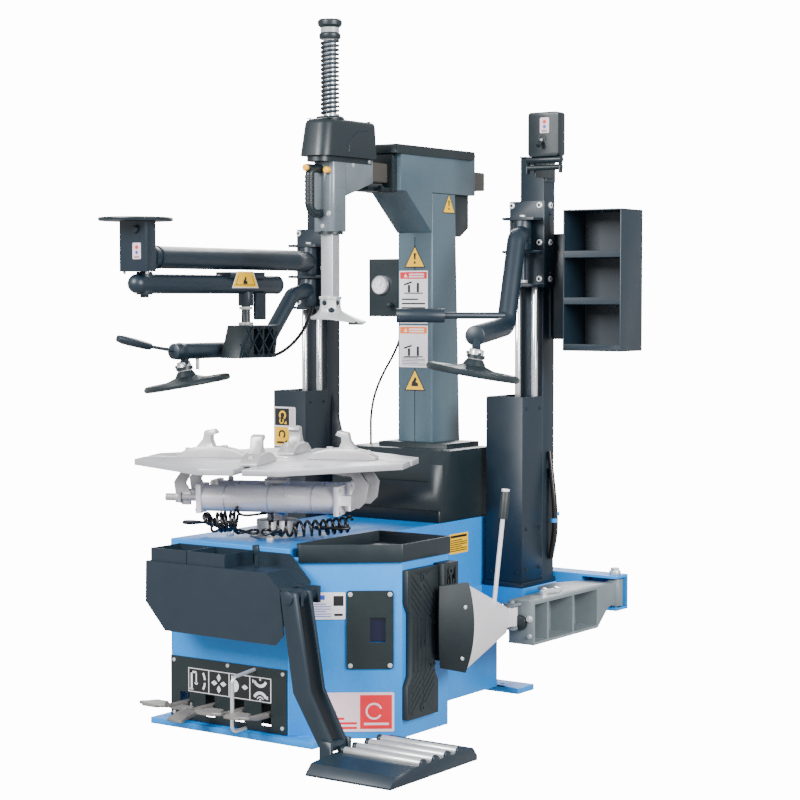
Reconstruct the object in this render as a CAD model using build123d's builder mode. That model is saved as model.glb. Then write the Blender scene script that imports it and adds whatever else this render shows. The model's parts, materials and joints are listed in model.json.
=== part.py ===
"""Tire changer: tilting column, sliding mounting head, four-clamp turntable, two assist
towers, bead breaker, wheel lift and pedals.  Millimetres, +Z up, +X to the machine's
right, the pedals face -Y.  Dimensions are laid out from the turntable's axis on the floor;
write() moves them so that the origin is midway between the front rail's anchor holes."""
import os
from math import cos, radians, sin

from build123d import *

os.makedirs("parts", exist_ok=True)

# ---- driving dimensions -----------------------------------------------------------
SHEET = 3                    # sheet-metal wall
RAIL_H = 16                  # floor rail height, the cabinet stands on the rails
ANCHOR_Y, ANCHOR_R = -193, 7 # the front anchor holes
CAB_X, CAB_FRONT, CAB_BACK, CAB_TOP = 202, -206, 775, 500
BOX_X, BOX_FRONT, BOX_BACK, BOX_TOP = 434, -32, 181, 478   # side compartment
TRAY_TOP = 511
PLINTH_X, PLINTH_Y0, PLINTH_Y1, PLINTH_TOP = 290, 190, 655, 225
BEAM_Y0, BEAM_Y1, BEAM_Z0, BEAM_Z1, BEAM_X0, BEAM_X1 = 890, 960, 228, 330, -530, 552

TABLE_TOP, TABLE_T = 710, 16
TABLE_R, TABLE_W = 369, 104  # truncated corner: distance from the axis, half width
TABLE_TURN = 22.9            # resting angle of the table about Z
CLAMP_R = 175                # resting radius of the clamp jaws
CYL_Z, CYL_R, CYL_SIDE = 606, 36, 66
CYL_X0, CYL_X1 = -196, 196
CLAMP_ROD_R, SPINDLE_R, RUN_FIT = 10, 28, 0.06

COL_X, COL_FRONT, COL_BACK_TOP, COL_BACK_LOW = 62, 655, 775, 808
COL_Z0, PIVOT_Y, PIVOT_Z, PIVOT_R = 548, 715, 580, 14
BEAM_HEAD_Y0, BEAM_HEAD_Y1, BEAM_HEAD_Z0, BEAM_HEAD_Z1 = 494, 885, 1450, 1568
ARM_HALF, ARM_Z, ARM_Y0, ARM_Y1 = 28, 1498, 300, 992
SLIDE_GAP = 0.4
SHAFT_Y, SHAFT_HALF, SHAFT_Z0 = 240, 20, 1127
COVER_TOP, CAP_Z0, CAP_Z1 = 1635, 1855, 1910

TOWER_W, TOWER_D, TOWER_Z0, TOWER_Z1 = 124, 182, 315, 855
POST_W, POST_D, POST_TOP = 79, 64, 1551
RIGHT_X, RIGHT_Y = 344, 703  # front right corner of the right tower's cover
LEFT_X, LEFT_Y = -403, 645   # the same corner of the left tower's cover
POST_BACK = 114              # from the cover's front to the post's front
LEFT_CAR_Z, RIGHT_CAR_Z, CAR_H = 1105, 1173, 250

LIFT_X, LIFT_Z = 317, 402    # lift pivot, an axis along Y
FOOT_X0, FOOT_X1, FOOT_Y0, FOOT_Y1 = 452, 700, -462, -88
BREAKER = (528, 925)         # pivot of the bead breaker arm
PEDAL_XS = (-150, -62, 38, 128)


# ---- helpers ----------------------------------------------------------------------
def block(x, y, z, mode=Mode.ADD):
    """A box between two corners: x, y and z are (low, high)."""
    with Locations(((x[0] + x[1]) / 2, (y[0] + y[1]) / 2, (z[0] + z[1]) / 2)):
        return Box(x[1] - x[0], y[1] - y[0], z[1] - z[0], mode=mode)


def bar(start, end, radius, mode=Mode.ADD):
    """A round bar from start to end."""
    run = Vector(*end) - Vector(*start)
    with BuildSketch(Plane(origin=start, z_dir=run)) as ring:
        Circle(radius)
    return extrude(ring.sketch, amount=run.length, mode=mode)


def pipe(points, radius, bends, mode=Mode.ADD):
    """A round bar along straight runs joined by tangent arcs."""
    with BuildLine() as route:
        FilletPolyline(*points, radius=bends)
    start, after = Vector(*points[0]), Vector(*points[1])
    with BuildSketch(Plane(origin=start, z_dir=after - start)) as ring:
        Circle(radius)
    return sweep(ring.sketch, path=route.line, mode=mode)


def prism(plane, points, amount, mode=Mode.ADD, both=False):
    """A polygon drawn on a plane and extruded."""
    with BuildSketch(plane) as outline:
        with BuildLine():
            Polyline(*points, close=True)
        make_face()
    return extrude(outline.sketch, amount=amount, both=both, mode=mode)


def write(builder, name):
    """Move a finished sub-part to the row's origin, label it and write its STEP file."""
    placed = builder.part.moved(Location((0, -ANCHOR_Y, 0)))
    placed.label = name
    export_step(placed, f"parts/{name}.step")


def turned(radius, angle, height=0.0):
    """The point at this radius and angle about the table's axis."""
    return (radius * cos(radians(angle)), radius * sin(radians(angle)), height)


# ---- base cabinet -----------------------------------------------------------------
with BuildPart() as cabinet:
    block((-CAB_X, CAB_X), (CAB_FRONT, CAB_BACK), (RAIL_H, CAB_TOP))
    fillet(cabinet.edges().filter_by(Axis.Z), 5)
    fillet(cabinet.faces().sort_by(Axis.Z)[-1].edges(), 3)
    block((-CAB_X + SHEET, CAB_X - SHEET), (CAB_FRONT + SHEET, CAB_BACK - SHEET),
          (RAIL_H, CAB_TOP - SHEET), mode=Mode.SUBTRACT)
    with Locations((0, 0, CAB_TOP)):
        Cylinder(60, 20, mode=Mode.SUBTRACT)
    block((-186, 178), (CAB_FRONT - 1, CAB_FRONT + 10), (24, 170), mode=Mode.SUBTRACT)
    block((CAB_X - 10, CAB_X + 1), (0, 150), (100, 430), mode=Mode.SUBTRACT)
    block((CAB_X - 10, CAB_X + 1), (230, 600), (40, 214), mode=Mode.SUBTRACT)
write(cabinet, "cabinet")

BOX_OUTLINE = ((CAB_X + 0.2, CAB_FRONT + 2), (BOX_X, BOX_FRONT), (BOX_X, BOX_BACK),
               (CAB_X + 0.2, BOX_BACK))
CHAMFER = Plane(origin=(CAB_X + 2, CAB_FRONT, 0), x_dir=(230, 174, 0), z_dir=(174, -230, 0))
WINDOW_AT, WINDOW_W, WINDOW_H = (226, 291), 40, 64

with BuildPart() as side_compartment:
    prism(Plane.XY.offset(8), BOX_OUTLINE, BOX_TOP - 8)
    with BuildSketch(Plane.XY.offset(8)) as inner:
        with BuildLine():
            Polyline(*BOX_OUTLINE, close=True)
        make_face()
        offset(amount=-SHEET, kind=Kind.INTERSECTION)
    extrude(inner.sketch, amount=BOX_TOP, mode=Mode.SUBTRACT)
    block((CAB_X - 1, 302), (-238, -148), (0, RAIL_H), mode=Mode.SUBTRACT)
    with BuildSketch(CHAMFER.offset(20)) as window:
        with Locations(WINDOW_AT):
            Rectangle(WINDOW_W, WINDOW_H)
    extrude(window.sketch, amount=-60, mode=Mode.SUBTRACT)
write(side_compartment, "side_compartment")

with BuildPart() as parts_tray:
    with BuildSketch(Plane.XY.offset(BOX_TOP - 12)) as skirt:
        with BuildLine():
            Polyline((CAB_X + 1, CAB_FRONT + 30), (CAB_X + 1, BOX_BACK + 6),
                     (BOX_X + 5, BOX_BACK + 6), (BOX_X + 5, BOX_FRONT - 6),
                     (CAB_X + 26, CAB_FRONT + 8), close=True)
        make_face()
    extrude(skirt.sketch, amount=TRAY_TOP - BOX_TOP + 12)
    fillet(parts_tray.edges().filter_by(Axis.Z), 4)
    with BuildSketch(Plane.XY.offset(BOX_TOP - 20)) as below:
        with BuildLine():
            Polyline(*BOX_OUTLINE, close=True)
        make_face()
        offset(amount=0.2, kind=Kind.INTERSECTION)
    extrude(below.sketch, amount=20.2, mode=Mode.SUBTRACT)
    with BuildSketch(Plane.XY.offset(BOX_TOP + 4)) as well:
        with BuildLine():
            Polyline((CAB_X + 6, CAB_FRONT + 36), (CAB_X + 6, BOX_BACK + 1),
                     (BOX_X, BOX_BACK + 1), (BOX_X, BOX_FRONT - 3),
                     (CAB_X + 28, CAB_FRONT + 16), close=True)
        make_face()
    extrude(well.sketch, amount=40, mode=Mode.SUBTRACT)
write(parts_tray, "parts_tray")

RAILS = ((-250, 300, -236, -150), (-300, 362, 655, 745))     # x0, x1, y0, y1
ANCHORS = ((-230, ANCHOR_Y), (230, ANCHOR_Y), (-230, 700), (280, 700))
with BuildPart() as chassis:
    for x0, x1, y0, y1 in RAILS:
        block((x0, x1), (y0, y1), (0, RAIL_H))
    fillet(chassis.edges().filter_by(Axis.Z), 4)
    with Locations(*[(x, y, RAIL_H / 2) for x, y in ANCHORS]):
        Cylinder(ANCHOR_R, 40, mode=Mode.SUBTRACT)
    block((CAB_X + 0.2, PLINTH_X), (PLINTH_Y0, PLINTH_Y1), (RAIL_H, PLINTH_TOP))
    block((CAB_X, PLINTH_X - SHEET), (PLINTH_Y0 + SHEET, PLINTH_Y1 - SHEET),
          (RAIL_H - 1, PLINTH_TOP - SHEET), mode=Mode.SUBTRACT)
    block((BEAM_X0, BEAM_X1), (BEAM_Y0, BEAM_Y1), (BEAM_Z0, BEAM_Z1))
    block((BEAM_X0 + 8, 430), (BEAM_Y0 + 8, BEAM_Y1 - 8), (BEAM_Z0 + 8, BEAM_Z1 - 8),
          mode=Mode.SUBTRACT)
    block((436, BEAM_X1 + 1), (BEAM_Y0 - 1, BEAM_Y1 - 8), (BEAM_Z0 + 8, BEAM_Z1 - 8),
          mode=Mode.SUBTRACT)
    with Locations((BREAKER[0], BREAKER[1], 280)):
        Cylinder(12, 120, mode=Mode.SUBTRACT)
    for side in (-1, 1):
        block(sorted((side * 188, side * CAB_X)), (CAB_BACK, BEAM_Y0), (BEAM_Z0, BEAM_Z1))
    block((206, RIGHT_X + 4), (RIGHT_Y - 2, BEAM_Y0), (BEAM_Z0 + 20, TOWER_Z0 - 15))
    block((CAB_X, 207), (RIGHT_Y - 60, BEAM_Y0), (BEAM_Z0 + 20, TOWER_Z0 - 15))
    block((LEFT_X - TOWER_W - 4, LEFT_X + 4), (LEFT_Y - 2, BEAM_Y0),
          (BEAM_Z0 + 20, TOWER_Z0 - 15))
write(chassis, "chassis")

# ---- stepped plastic cover round the column's foot ----------------------------------
COVER_FRONT, COVER_BACK, COVER_TOP_Z = 486, 772, 703
with BuildPart() as base_cover:
    block((-200, 200), (COVER_FRONT, COVER_BACK), (CAB_TOP, CAB_TOP + 34))
    block((-192, 200), (COVER_FRONT + 18, COVER_BACK), (CAB_TOP + 34, CAB_TOP + 112))
    block((-180, 200), (COVER_FRONT + 60, COVER_BACK), (CAB_TOP + 112, COVER_TOP_Z))
    prism(Plane.YZ.offset(150), ((COVER_FRONT + 18, CAB_TOP + 112),
          (COVER_FRONT + 18, CAB_TOP + 165), (COVER_FRONT + 62, COVER_TOP_Z),
          (COVER_FRONT + 62, CAB_TOP + 112)), 50)
    fillet(base_cover.edges().filter_by(Axis.Z).group_by(Axis.Y)[0], 6)
    block((-92, 150), (600, COVER_BACK), (COVER_TOP_Z, COVER_TOP_Z + 14))
    block((-196, 196), (COVER_FRONT + 4, COVER_BACK - 4), (CAB_TOP - 1, CAB_TOP + 30),
          mode=Mode.SUBTRACT)
    block((-188, 196), (COVER_FRONT + 22, COVER_BACK - 4), (CAB_TOP + 29, CAB_TOP + 108),
          mode=Mode.SUBTRACT)
    block((-176, 196), (COVER_FRONT + 66, COVER_BACK - 4), (CAB_TOP + 107, COVER_TOP_Z - 4),
          mode=Mode.SUBTRACT)
    block((-COL_X - 8, COL_X + 8), (COL_FRONT - 8, COVER_BACK + 5), (CAB_TOP, 740),
          mode=Mode.SUBTRACT)
write(base_cover, "base_cover")

with BuildPart() as tilt_hinge:
    block((-120, 120), (640, 765), (CAB_TOP + 0.2, CAB_TOP + 12))
    for side in (-1, 1):
        block(sorted((side * 84, side * 100)), (680, 750), (CAB_TOP + 12, 612))
    bar((-106, PIVOT_Y, PIVOT_Z), (106, PIVOT_Y, PIVOT_Z), PIVOT_R)
write(tilt_hinge, "tilt_hinge")

# ---- front: pedal panel, guard, lift housing ----------------------------------------
PANEL_Y = CAB_FRONT - 3
with BuildPart() as front_panels:
    block((-199, 196), (PANEL_Y, CAB_FRONT - 0.2), (RAIL_H + 2, 186))
    for x in PEDAL_XS:
        block((x - 16, x + 16), (PANEL_Y - 1, CAB_FRONT + 1), (34, 92), mode=Mode.SUBTRACT)
    with BuildSketch(CHAMFER.offset(0.3)) as plate:
        with Locations((206, 291)):
            RectangleRounded(120, 202, 7)
    extrude(plate.sketch, amount=4)
    with BuildSketch(CHAMFER) as opening:
        with Locations(WINDOW_AT):
            Rectangle(WINDOW_W, WINDOW_H)
        with Locations((206, 291)):
            with GridLocations(102, 184, 2, 2):
                Circle(3)
    extrude(opening.sketch, amount=10, mode=Mode.SUBTRACT)
write(front_panels, "front_panels")



def pad_outline(half_w, half_h, waist):
    """Dog-bone outline of a wall pad, drawn round its centre."""
    neck, shoulder = half_h * 0.42, half_h * 0.56
    right = [(half_w, -half_h), (half_w, -shoulder), (waist, -neck), (waist, neck),
             (half_w, shoulder), (half_w, half_h)]
    return right + [(-x, y) for x, y in reversed(right)]


with BuildPart() as bead_pads:
    wide = Plane(origin=(BOX_X + 0.2, 38, 250), x_dir=(0, 1, 0), z_dir=(1, 0, 0))
    prism(wide, pad_outline(70, 194, 54), 18)
    narrow = Plane(origin=(BOX_X + 0.2, 142, 320), x_dir=(0, 1, 0), z_dir=(1, 0, 0))
    prism(narrow, ((-32, -130), (32, -130), (36, -70), (36, 128), (-32, 128)), 34)
    for z in (80, 250, 420):
        bar((BOX_X - 1, 38, z), (BOX_X + 30, 38, z), 5, mode=Mode.SUBTRACT)
    bar((BOX_X - 1, 142, 425), (BOX_X + 50, 142, 425), 5, mode=Mode.SUBTRACT)
write(bead_pads, "bead_pads")

HOUSING = ((-173, 350), (-171, 456), (232, 456), (274, 416), (286, 302), (260, 276),
           (-106, 278))
with BuildPart() as lift_housing:
    prism(Plane.XZ.offset(332), HOUSING, 4)
    prism(Plane.XZ.offset(206.2), ((-160, 300), (-160, 488), (207, 488), (272, 424),
          (276, 326), (262, 300)), 4)
    block((-171, 232), (-332, -210.2), (448, 456))
    block((-171, -165), (-332, -210.2), (352, 448))
    prism(Plane.XZ.offset(210.2), ((224, 450), (232, 456), (274, 416), (268, 410)), 121.8)
    block((258, LIFT_X + 22), (-331.9, -322), (LIFT_Z - 21, LIFT_Z + 21))
    prism(Plane.XZ.offset(252), ((236, LIFT_Z - 21), (LIFT_X + 22, LIFT_Z - 21),
          (LIFT_X + 22, LIFT_Z + 21), (272, LIFT_Z + 21), (240, 448)), 10)
    bar((LIFT_X, -340, LIFT_Z), (LIFT_X, -205, LIFT_Z), 17 + RUN_FIT, mode=Mode.SUBTRACT)
    for x0, x1 in ((-160, -38), (-36, 90)):
        block((x0, x1), (-328, -214), (455.9, 490))
        block((x0 + 3, x1 - 3), (-325, -217), (459, 495), mode=Mode.SUBTRACT)
write(lift_housing, "lift_housing")

with BuildPart() as lift_valve_lever:
    bar((148, -270, 458), (148, -270, 492), 6)
    bar((148, -270, 492), (148, -274, 512), 9)
write(lift_valve_lever, "lift_valve_lever")

# ---- drive inside the cabinet -------------------------------------------------------
with BuildPart() as drive_unit:
    block((-90, 90), (-80, 110), (330, 470))
    fillet(drive_unit.edges(), 12)
    with Locations((0, 0, 505)):
        Cylinder(56, 80)
    with Locations((0, 0, 502)):
        Cylinder(74, 4)
    with Locations((0, 0, CAB_TOP + 25)):
        Cylinder(SPINDLE_R + RUN_FIT, 140, mode=Mode.SUBTRACT)
    bar((-60, 40, 330), (-60, 40, 290), 14)
    bar((-60, 40, 318), (-60, 40, 292), 62)
    with Locations((-60, 300, 230)):
        Cylinder(85, 220)
    with Locations((-60, 300, 352)):
        Cylinder(70, 24)
    with Locations((-60, 300, 105)):
        Cylinder(20, 30)
    block((-160, 40), (296, 304), (200, 260))
    block((-CAB_X + SHEET + 0.2, -140), (230, 370), (180, 280))
    bar((CAB_X - 170, 420, 130), (CAB_X + 60, 420, 130), 75)
    bar((CAB_X - 186, 420, 130), (CAB_X - 170, 420, 130), 84)
write(drive_unit, "drive_unit")


# ---- fasteners on the base ----------------------------------------------------------
with BuildPart() as fasteners:
    for angle in (30, 120, 210, 300):
        with Locations(turned(128, angle, CAB_TOP + 5)):
            Cylinder(10, 10)
    for x, z in ((-186, 175), (0, 178), (184, 175), (182, 34), (-186, 34)):
        bar((x, PANEL_Y - 3, z), (x, PANEL_Y, z), 5)
    for along in (-51, 51):
        for up in (-92, 92):
            spot = CHAMFER.offset(4.4).from_local_coords((206 + along, 291 + up, 0))
            bar(spot, spot + CHAMFER.z_dir * 3, 6)
    for z in (80, 250, 420):
        bar((BOX_X + 6, 38, z), (BOX_X + 14, 38, z), 4.9)
    with Locations((BREAKER[0], BREAKER[1], BEAM_Z1 + 6)):
        Cylinder(17, 11.6)
    pipe(((90, PANEL_Y - 0.5, 178), (90, -300, 170), (90, -300, 30), (90, -246, 30)),
         5, (18, 16))
    with Locations((BREAKER[0], BREAKER[1], 279)):
        Cylinder(12 - 0.02, 102)
write(fasteners, "fasteners")


# ---- assist towers ------------------------------------------------------------------
def tower(corner_x, front_y):
    """Base plate and post of a tower whose cover's front right corner is given."""
    x0, x1 = corner_x - TOWER_W, corner_x
    post_y = front_y + POST_BACK
    block((x0 - 4, x1 + 4), (front_y - 2, front_y + TOWER_D + 2), (TOWER_Z0 - 15, TOWER_Z0))
    block((x1 - POST_W, x1), (post_y, post_y + POST_D), (TOWER_Z0, POST_TOP))
    block((x1 - POST_W + 8, x1 - 8), (post_y + 8, post_y + POST_D - 8),
          (TOWER_Z0, POST_TOP + 1), mode=Mode.SUBTRACT)


with BuildPart() as tower_posts:
    tower(LEFT_X, LEFT_Y)
    post_mid = LEFT_Y + POST_BACK + POST_D / 2
    prism(Plane.XZ.offset(-post_mid), ((LEFT_X, TOWER_Z0), (LEFT_X + 105, TOWER_Z0),
          (LEFT_X + 95, 520), (LEFT_X, 845)), 8)
    tower(RIGHT_X, RIGHT_Y)
    block((RIGHT_X, RIGHT_X + 6), (RIGHT_Y + 147, RIGHT_Y + 178), (1020, 1330))
    block((RIGHT_X + 6, 452), (RIGHT_Y + 164, RIGHT_Y + 170), (1020, 1330))
    block((RIGHT_X, RIGHT_X + 6), (RIGHT_Y + 120, RIGHT_Y + 172), (1480, 1545))
write(tower_posts, "tower_posts")


def tower_cover(corner_x, front_y):
    """Folded cover in front of and beside a tower's post, open at the top."""
    x0, x1 = corner_x - TOWER_W, corner_x
    y1 = front_y + POST_BACK - 0.3
    block((x0, x1), (front_y, y1), (TOWER_Z0 + 0.2, TOWER_Z1))
    block((x0, x1 - POST_W - 0.3), (y1 - 1, front_y + TOWER_D), (TOWER_Z0 + 0.2, TOWER_Z1))
    block((x0 + SHEET, x1 - SHEET), (front_y + SHEET, y1 - SHEET),
          (TOWER_Z0, TOWER_Z1 + 1), mode=Mode.SUBTRACT)
    block((x0 + SHEET, x1 - POST_W - SHEET - 0.3), (y1 - 10, front_y + TOWER_D - SHEET),
          (TOWER_Z0, TOWER_Z1 + 1), mode=Mode.SUBTRACT)


with BuildPart() as tower_covers:
    tower_cover(LEFT_X, LEFT_Y)
    tower_cover(RIGHT_X, RIGHT_Y)
write(tower_covers, "tower_covers")

CAB_LEFT, CAB_RIGHT, SHELF_Y0, SHELF_Y1, SHELF_Z0, SHELF_Z1 = 452, 640, 745, 873, 990, 1393
with BuildPart() as tool_cabinet:
    block((CAB_LEFT, CAB_RIGHT), (SHELF_Y0, SHELF_Y1), (SHELF_Z0, SHELF_Z1))
    pitch = (SHELF_Z1 - SHELF_Z0 - 4) / 3
    for level in range(3):
        low = SHELF_Z0 + 4 + level * pitch
        block((CAB_LEFT + 4, CAB_RIGHT - 4), (SHELF_Y0 - 1, SHELF_Y1 - 4),
              (low, low + pitch - 4), mode=Mode.SUBTRACT)
        block((CAB_LEFT + 4, CAB_RIGHT - 4), (SHELF_Y0, SHELF_Y0 + 4), (low, low + 16))
write(tool_cabinet, "tool_cabinet")

BOX2_X0, BOX2_X1 = 348, 448
with BuildPart() as right_control_box:
    block((BOX2_X0, BOX2_X1), (722, 760), (1546, 1672))
    fillet(right_control_box.edges().filter_by(Axis.Y), 10)
    block((RIGHT_X + 6.2, RIGHT_X + 12.2), (752, 860), (1490, 1564))
    bar((BOX2_X0 - 9, 736, 1537), (BOX2_X1 + 4, 736, 1537), 10)
    bar((BOX2_X0 - 12, 736, 1515), (BOX2_X1 + 4, 736, 1515), 8)
    for x in (BOX2_X0 - 11, BOX2_X1 - 2):
        block((x, x + 4), (728, 744), (1498, 1537))
write(right_control_box, "right_control_box")

with BuildPart() as right_toggle:
    bar((396, 717.2, 1594), (397, 699, 1575), 4)
write(right_toggle, "right_toggle")

# ---- turntable ----------------------------------------------------------------------
CORNERS = [turned(1, TABLE_TURN + 90 * k) for k in range(4)]
with BuildPart() as turntable:
    with BuildSketch(Plane.XY.offset(TABLE_TOP - TABLE_T)) as outline:
        with BuildLine():
            rim = []
            for cx, cy, _ in CORNERS:
                rim.append((cx * TABLE_R + cy * TABLE_W, cy * TABLE_R - cx * TABLE_W))
                rim.append((cx * TABLE_R - cy * TABLE_W, cy * TABLE_R + cx * TABLE_W))
            Polyline(*rim, close=True)
        make_face()
        fillet(outline.vertices(), 12)
        with PolarLocations(245, 4, start_angle=TABLE_TURN):
            SlotOverall(262, 25, mode=Mode.SUBTRACT)
    extrude(outline.sketch, amount=TABLE_T)
    fillet(turntable.faces().sort_by(Axis.Z)[-1].outer_wire().edges(), 2)
    with Locations((0, 0, (CAB_TOP + TABLE_TOP - TABLE_T - 30) / 2)):
        Cylinder(SPINDLE_R, TABLE_TOP - TABLE_T - CAB_TOP + 30)
    with Locations((0, 0, 688)):
        Cylinder(78, 11.6)
write(turntable, "turntable")

TABLE = Plane(origin=(0, 0, 0), z_dir=(0, 0, 1)).rotated((0, 0, TABLE_TURN))


def clamp(angle):
    """Arched clamp slide with its neck through the slot and a hooked jaw on top."""
    side = Plane.XZ.rotated((0, 0, angle))
    low = TABLE_TOP + 0.5
    with BuildSketch(side.offset(-23)) as arch:
        with BuildLine():
            Polyline((86, low + 7), (86, low), (276, low), (276, low + 7), (242, low + 24),
                     (212, low + 29), (152, low + 29), (118, low + 22), close=True)
        make_face()
    extrude(arch.sketch, amount=46)
    neck = Plane.XY.offset(TABLE_TOP - TABLE_T - 6).rotated((0, 0, angle))
    with BuildSketch(neck) as key:
        with Locations((195, 0)):
            Rectangle(64, 23.6)
    extrude(key.sketch, amount=30)
    with BuildSketch(side.offset(-16)) as jaw:
        with BuildLine():
            Polyline((174, low + 28), (222, low + 28), (204, low + 50), (200, low + 71),
                     (172, low + 75), (166, low + 65), (182, low + 59), (182, low + 46),
                     close=True)
        make_face()
    extrude(jaw.sketch, amount=32)


def hanger(angle):
    """C-shaped plate pair under a clamp that carries one end of the cylinders."""
    side = Plane.XZ.rotated((0, 0, angle))
    top = TABLE_TOP - TABLE_T - 6
    for shift in (-CYL_SIDE, CYL_SIDE):
        with BuildSketch(side.offset(shift - 5)) as hook:
            with BuildLine():
                Polyline((150, top), (240, top), (268, top - 40), (262, top - 84),
                         (244, CYL_Z - 20), (222, CYL_Z - 20), (222, CYL_Z + 16),
                         (236, top - 44), (222, top - 18), (150, top - 10), close=True)
            make_face()
        extrude(hook.sketch, amount=10)
    cross = Plane.XY.offset(top - 10).rotated((0, 0, angle))
    with BuildSketch(cross) as tie:
        with Locations((185, 0)):
            Rectangle(60, 2 * CYL_SIDE + 10)
    extrude(tie.sketch, amount=10)


with BuildPart() as clamp_right:
    clamp(TABLE_TURN)
    hanger(TABLE_TURN)
write(clamp_right, "clamp_right")

with BuildPart() as clamp_left:
    clamp(TABLE_TURN + 180)
    hanger(TABLE_TURN + 180)
    for side in (-CYL_SIDE, CYL_SIDE):
        tip = TABLE.from_local_coords((-290, side, CYL_Z))
        bar(tip, TABLE.from_local_coords((-8, side, CYL_Z)), CLAMP_ROD_R)
        nut = TABLE.from_local_coords((-262, side, CYL_Z))
        bar(nut, TABLE.from_local_coords((-246, side, CYL_Z)), 15)
write(clamp_left, "clamp_left")

for name, quarter in (("clamp_back", 90), ("clamp_front", 270)):
    with BuildPart() as cross_clamp:
        clamp(TABLE_TURN + quarter)
    write(cross_clamp, name)

with BuildPart() as clamp_cylinders:
    for side in (-CYL_SIDE, CYL_SIDE):
        end_a = TABLE.from_local_coords((CYL_X0, side, CYL_Z))
        end_b = TABLE.from_local_coords((CYL_X1, side, CYL_Z))
        bar(end_a, end_b, CYL_R)
        for at in (CYL_X0, CYL_X1 - 14):
            cap = TABLE.from_local_coords((at + 7, side, CYL_Z))
            with Locations(Location(cap, (0, 0, TABLE_TURN))):
                Box(14, 2 * CYL_R + 5, 2 * CYL_R + 5)
        lug = TABLE.from_local_coords((CYL_X1 + 12.9, side, CYL_Z))
        with Locations(Location(lug, (0, 0, TABLE_TURN))):
            Box(26, 26, 26)
        bore_end = TABLE.from_local_coords((CYL_X1 - 30, side, CYL_Z))
        bar(end_a, bore_end, CLAMP_ROD_R + RUN_FIT, mode=Mode.SUBTRACT)
write(clamp_cylinders, "clamp_cylinders")

HOSE_R = 20
with BuildPart() as spiral_hoses:
    runs = (((-190, -70, 538), (-90, -128, 540), (-52, -100, 540)),
            ((56, -100, 540), (150, -50, 538), (215, 40, 538)))
    for points in runs:
        pipe(points, HOSE_R, 30)
    bar((-32, -172, 540), (-14, -144, 540), 26)
write(spiral_hoses, "spiral_hoses")

# ---- tilting column ------------------------------------------------------------------
with BuildPart() as column:
    side_view = ((COL_FRONT, COL_Z0), (COL_BACK_LOW, COL_Z0), (COL_BACK_TOP, 1448),
                 (COL_FRONT, 1448))
    prism(Plane.YZ, side_view, COL_X, both=True)
    fillet(column.edges().filter_by(Axis.Z), 5)
    inside = ((COL_FRONT + 6, COL_Z0 - 1), (COL_BACK_LOW - 6, COL_Z0 - 1),
              (COL_BACK_TOP - 6, 1442), (COL_FRONT + 6, 1442))
    prism(Plane.YZ, inside, COL_X - 6, both=True, mode=Mode.SUBTRACT)
    block((-3, 3), (COL_FRONT - 1, COL_FRONT + 3), (640, 1320), mode=Mode.SUBTRACT)
    bar((-78, PIVOT_Y, PIVOT_Z), (78, PIVOT_Y, PIVOT_Z), 24)
    bar((-80, PIVOT_Y, PIVOT_Z), (80, PIVOT_Y, PIVOT_Z), PIVOT_R + RUN_FIT,
        mode=Mode.SUBTRACT)
    prism(Plane.YZ, ((BEAM_HEAD_Y0, BEAM_HEAD_Z0), (520, BEAM_HEAD_Z0), (COL_FRONT - 2, 1334),
          (COL_FRONT - 2, BEAM_HEAD_Z0), (BEAM_HEAD_Y1, BEAM_HEAD_Z0),
          (BEAM_HEAD_Y1, BEAM_HEAD_Z1), (BEAM_HEAD_Y0, BEAM_HEAD_Z1)), COL_X, both=True)
    block((-COL_X + 6, COL_X - 6), (BEAM_HEAD_Y0 + 12, BEAM_HEAD_Y1 - 12),
          (BEAM_HEAD_Z0 + 6, BEAM_HEAD_Z1 + 1), mode=Mode.SUBTRACT)
    hole = ARM_HALF + SLIDE_GAP
    block((-hole, hole), (BEAM_HEAD_Y0 - 1, BEAM_HEAD_Y1 + 1), (ARM_Z - hole, ARM_Z + hole),
          mode=Mode.SUBTRACT)
write(column, "column")

with BuildPart() as beam_fittings:
    block((-66, 66), (470, BEAM_HEAD_Y1 - 6), (BEAM_HEAD_Z1 + 0.2, BEAM_HEAD_Z1 + 14))
    chamfer(beam_fittings.faces().sort_by(Axis.Z)[-1].edges(), 6)
    block((-66, 66), (470, 490), (BEAM_HEAD_Z1 - 12, BEAM_HEAD_Z1 + 2))
    with BuildSketch(Plane.XZ.offset(-493.8)) as frame_plate:
        with Locations((0, ARM_Z)):
            RectangleRounded(96, 108, 6)
            Rectangle(2 * hole + 1, 2 * hole + 1, mode=Mode.SUBTRACT)
    extrude(frame_plate.sketch, amount=20)
    block((-50, 10), (404, 474), (1446, ARM_Z - hole - 1))
    bar((34, 430, 1452), (34, 493.8, 1452), 6)
    bar((34, 430, 1452), (34, 438, 1452), 10)
    prism(Plane.YZ, ((COL_BACK_TOP + 6, 1325), (826, 1325), (870, 1352), (870, 1449.8),
          (COL_BACK_TOP + 6, 1449.8)), 48, both=True)
write(beam_fittings, "beam_fittings")

DIAL = (-122, 1180)
with BuildPart() as gauge_box:
    block((-168, -COL_X - 0.2), (656, 716), (1086, 1258))
    fillet(gauge_box.edges().filter_by(Axis.Y), 3)
    bar((DIAL[0], 656, DIAL[1]), (DIAL[0], 648, DIAL[1]), 26)
    bar((-84, 656, 1122), (-84, 638, 1122), 8)
write(gauge_box, "gauge_box")

HOSE_ROUTE = ((-66, 690, 1085.5), (-72, 688, 1030), (-92, 680, 975), (-126, 668, 915),
              (-150, 656, 850), (-158, 650, 785), (-156, 648, 740), (-156, 648, 703.2))
with BuildPart() as gauge_hose:
    pipe(HOSE_ROUTE, 4, (60, 120, 160, 170, 200, 200))
write(gauge_hose, "gauge_hose")

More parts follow.
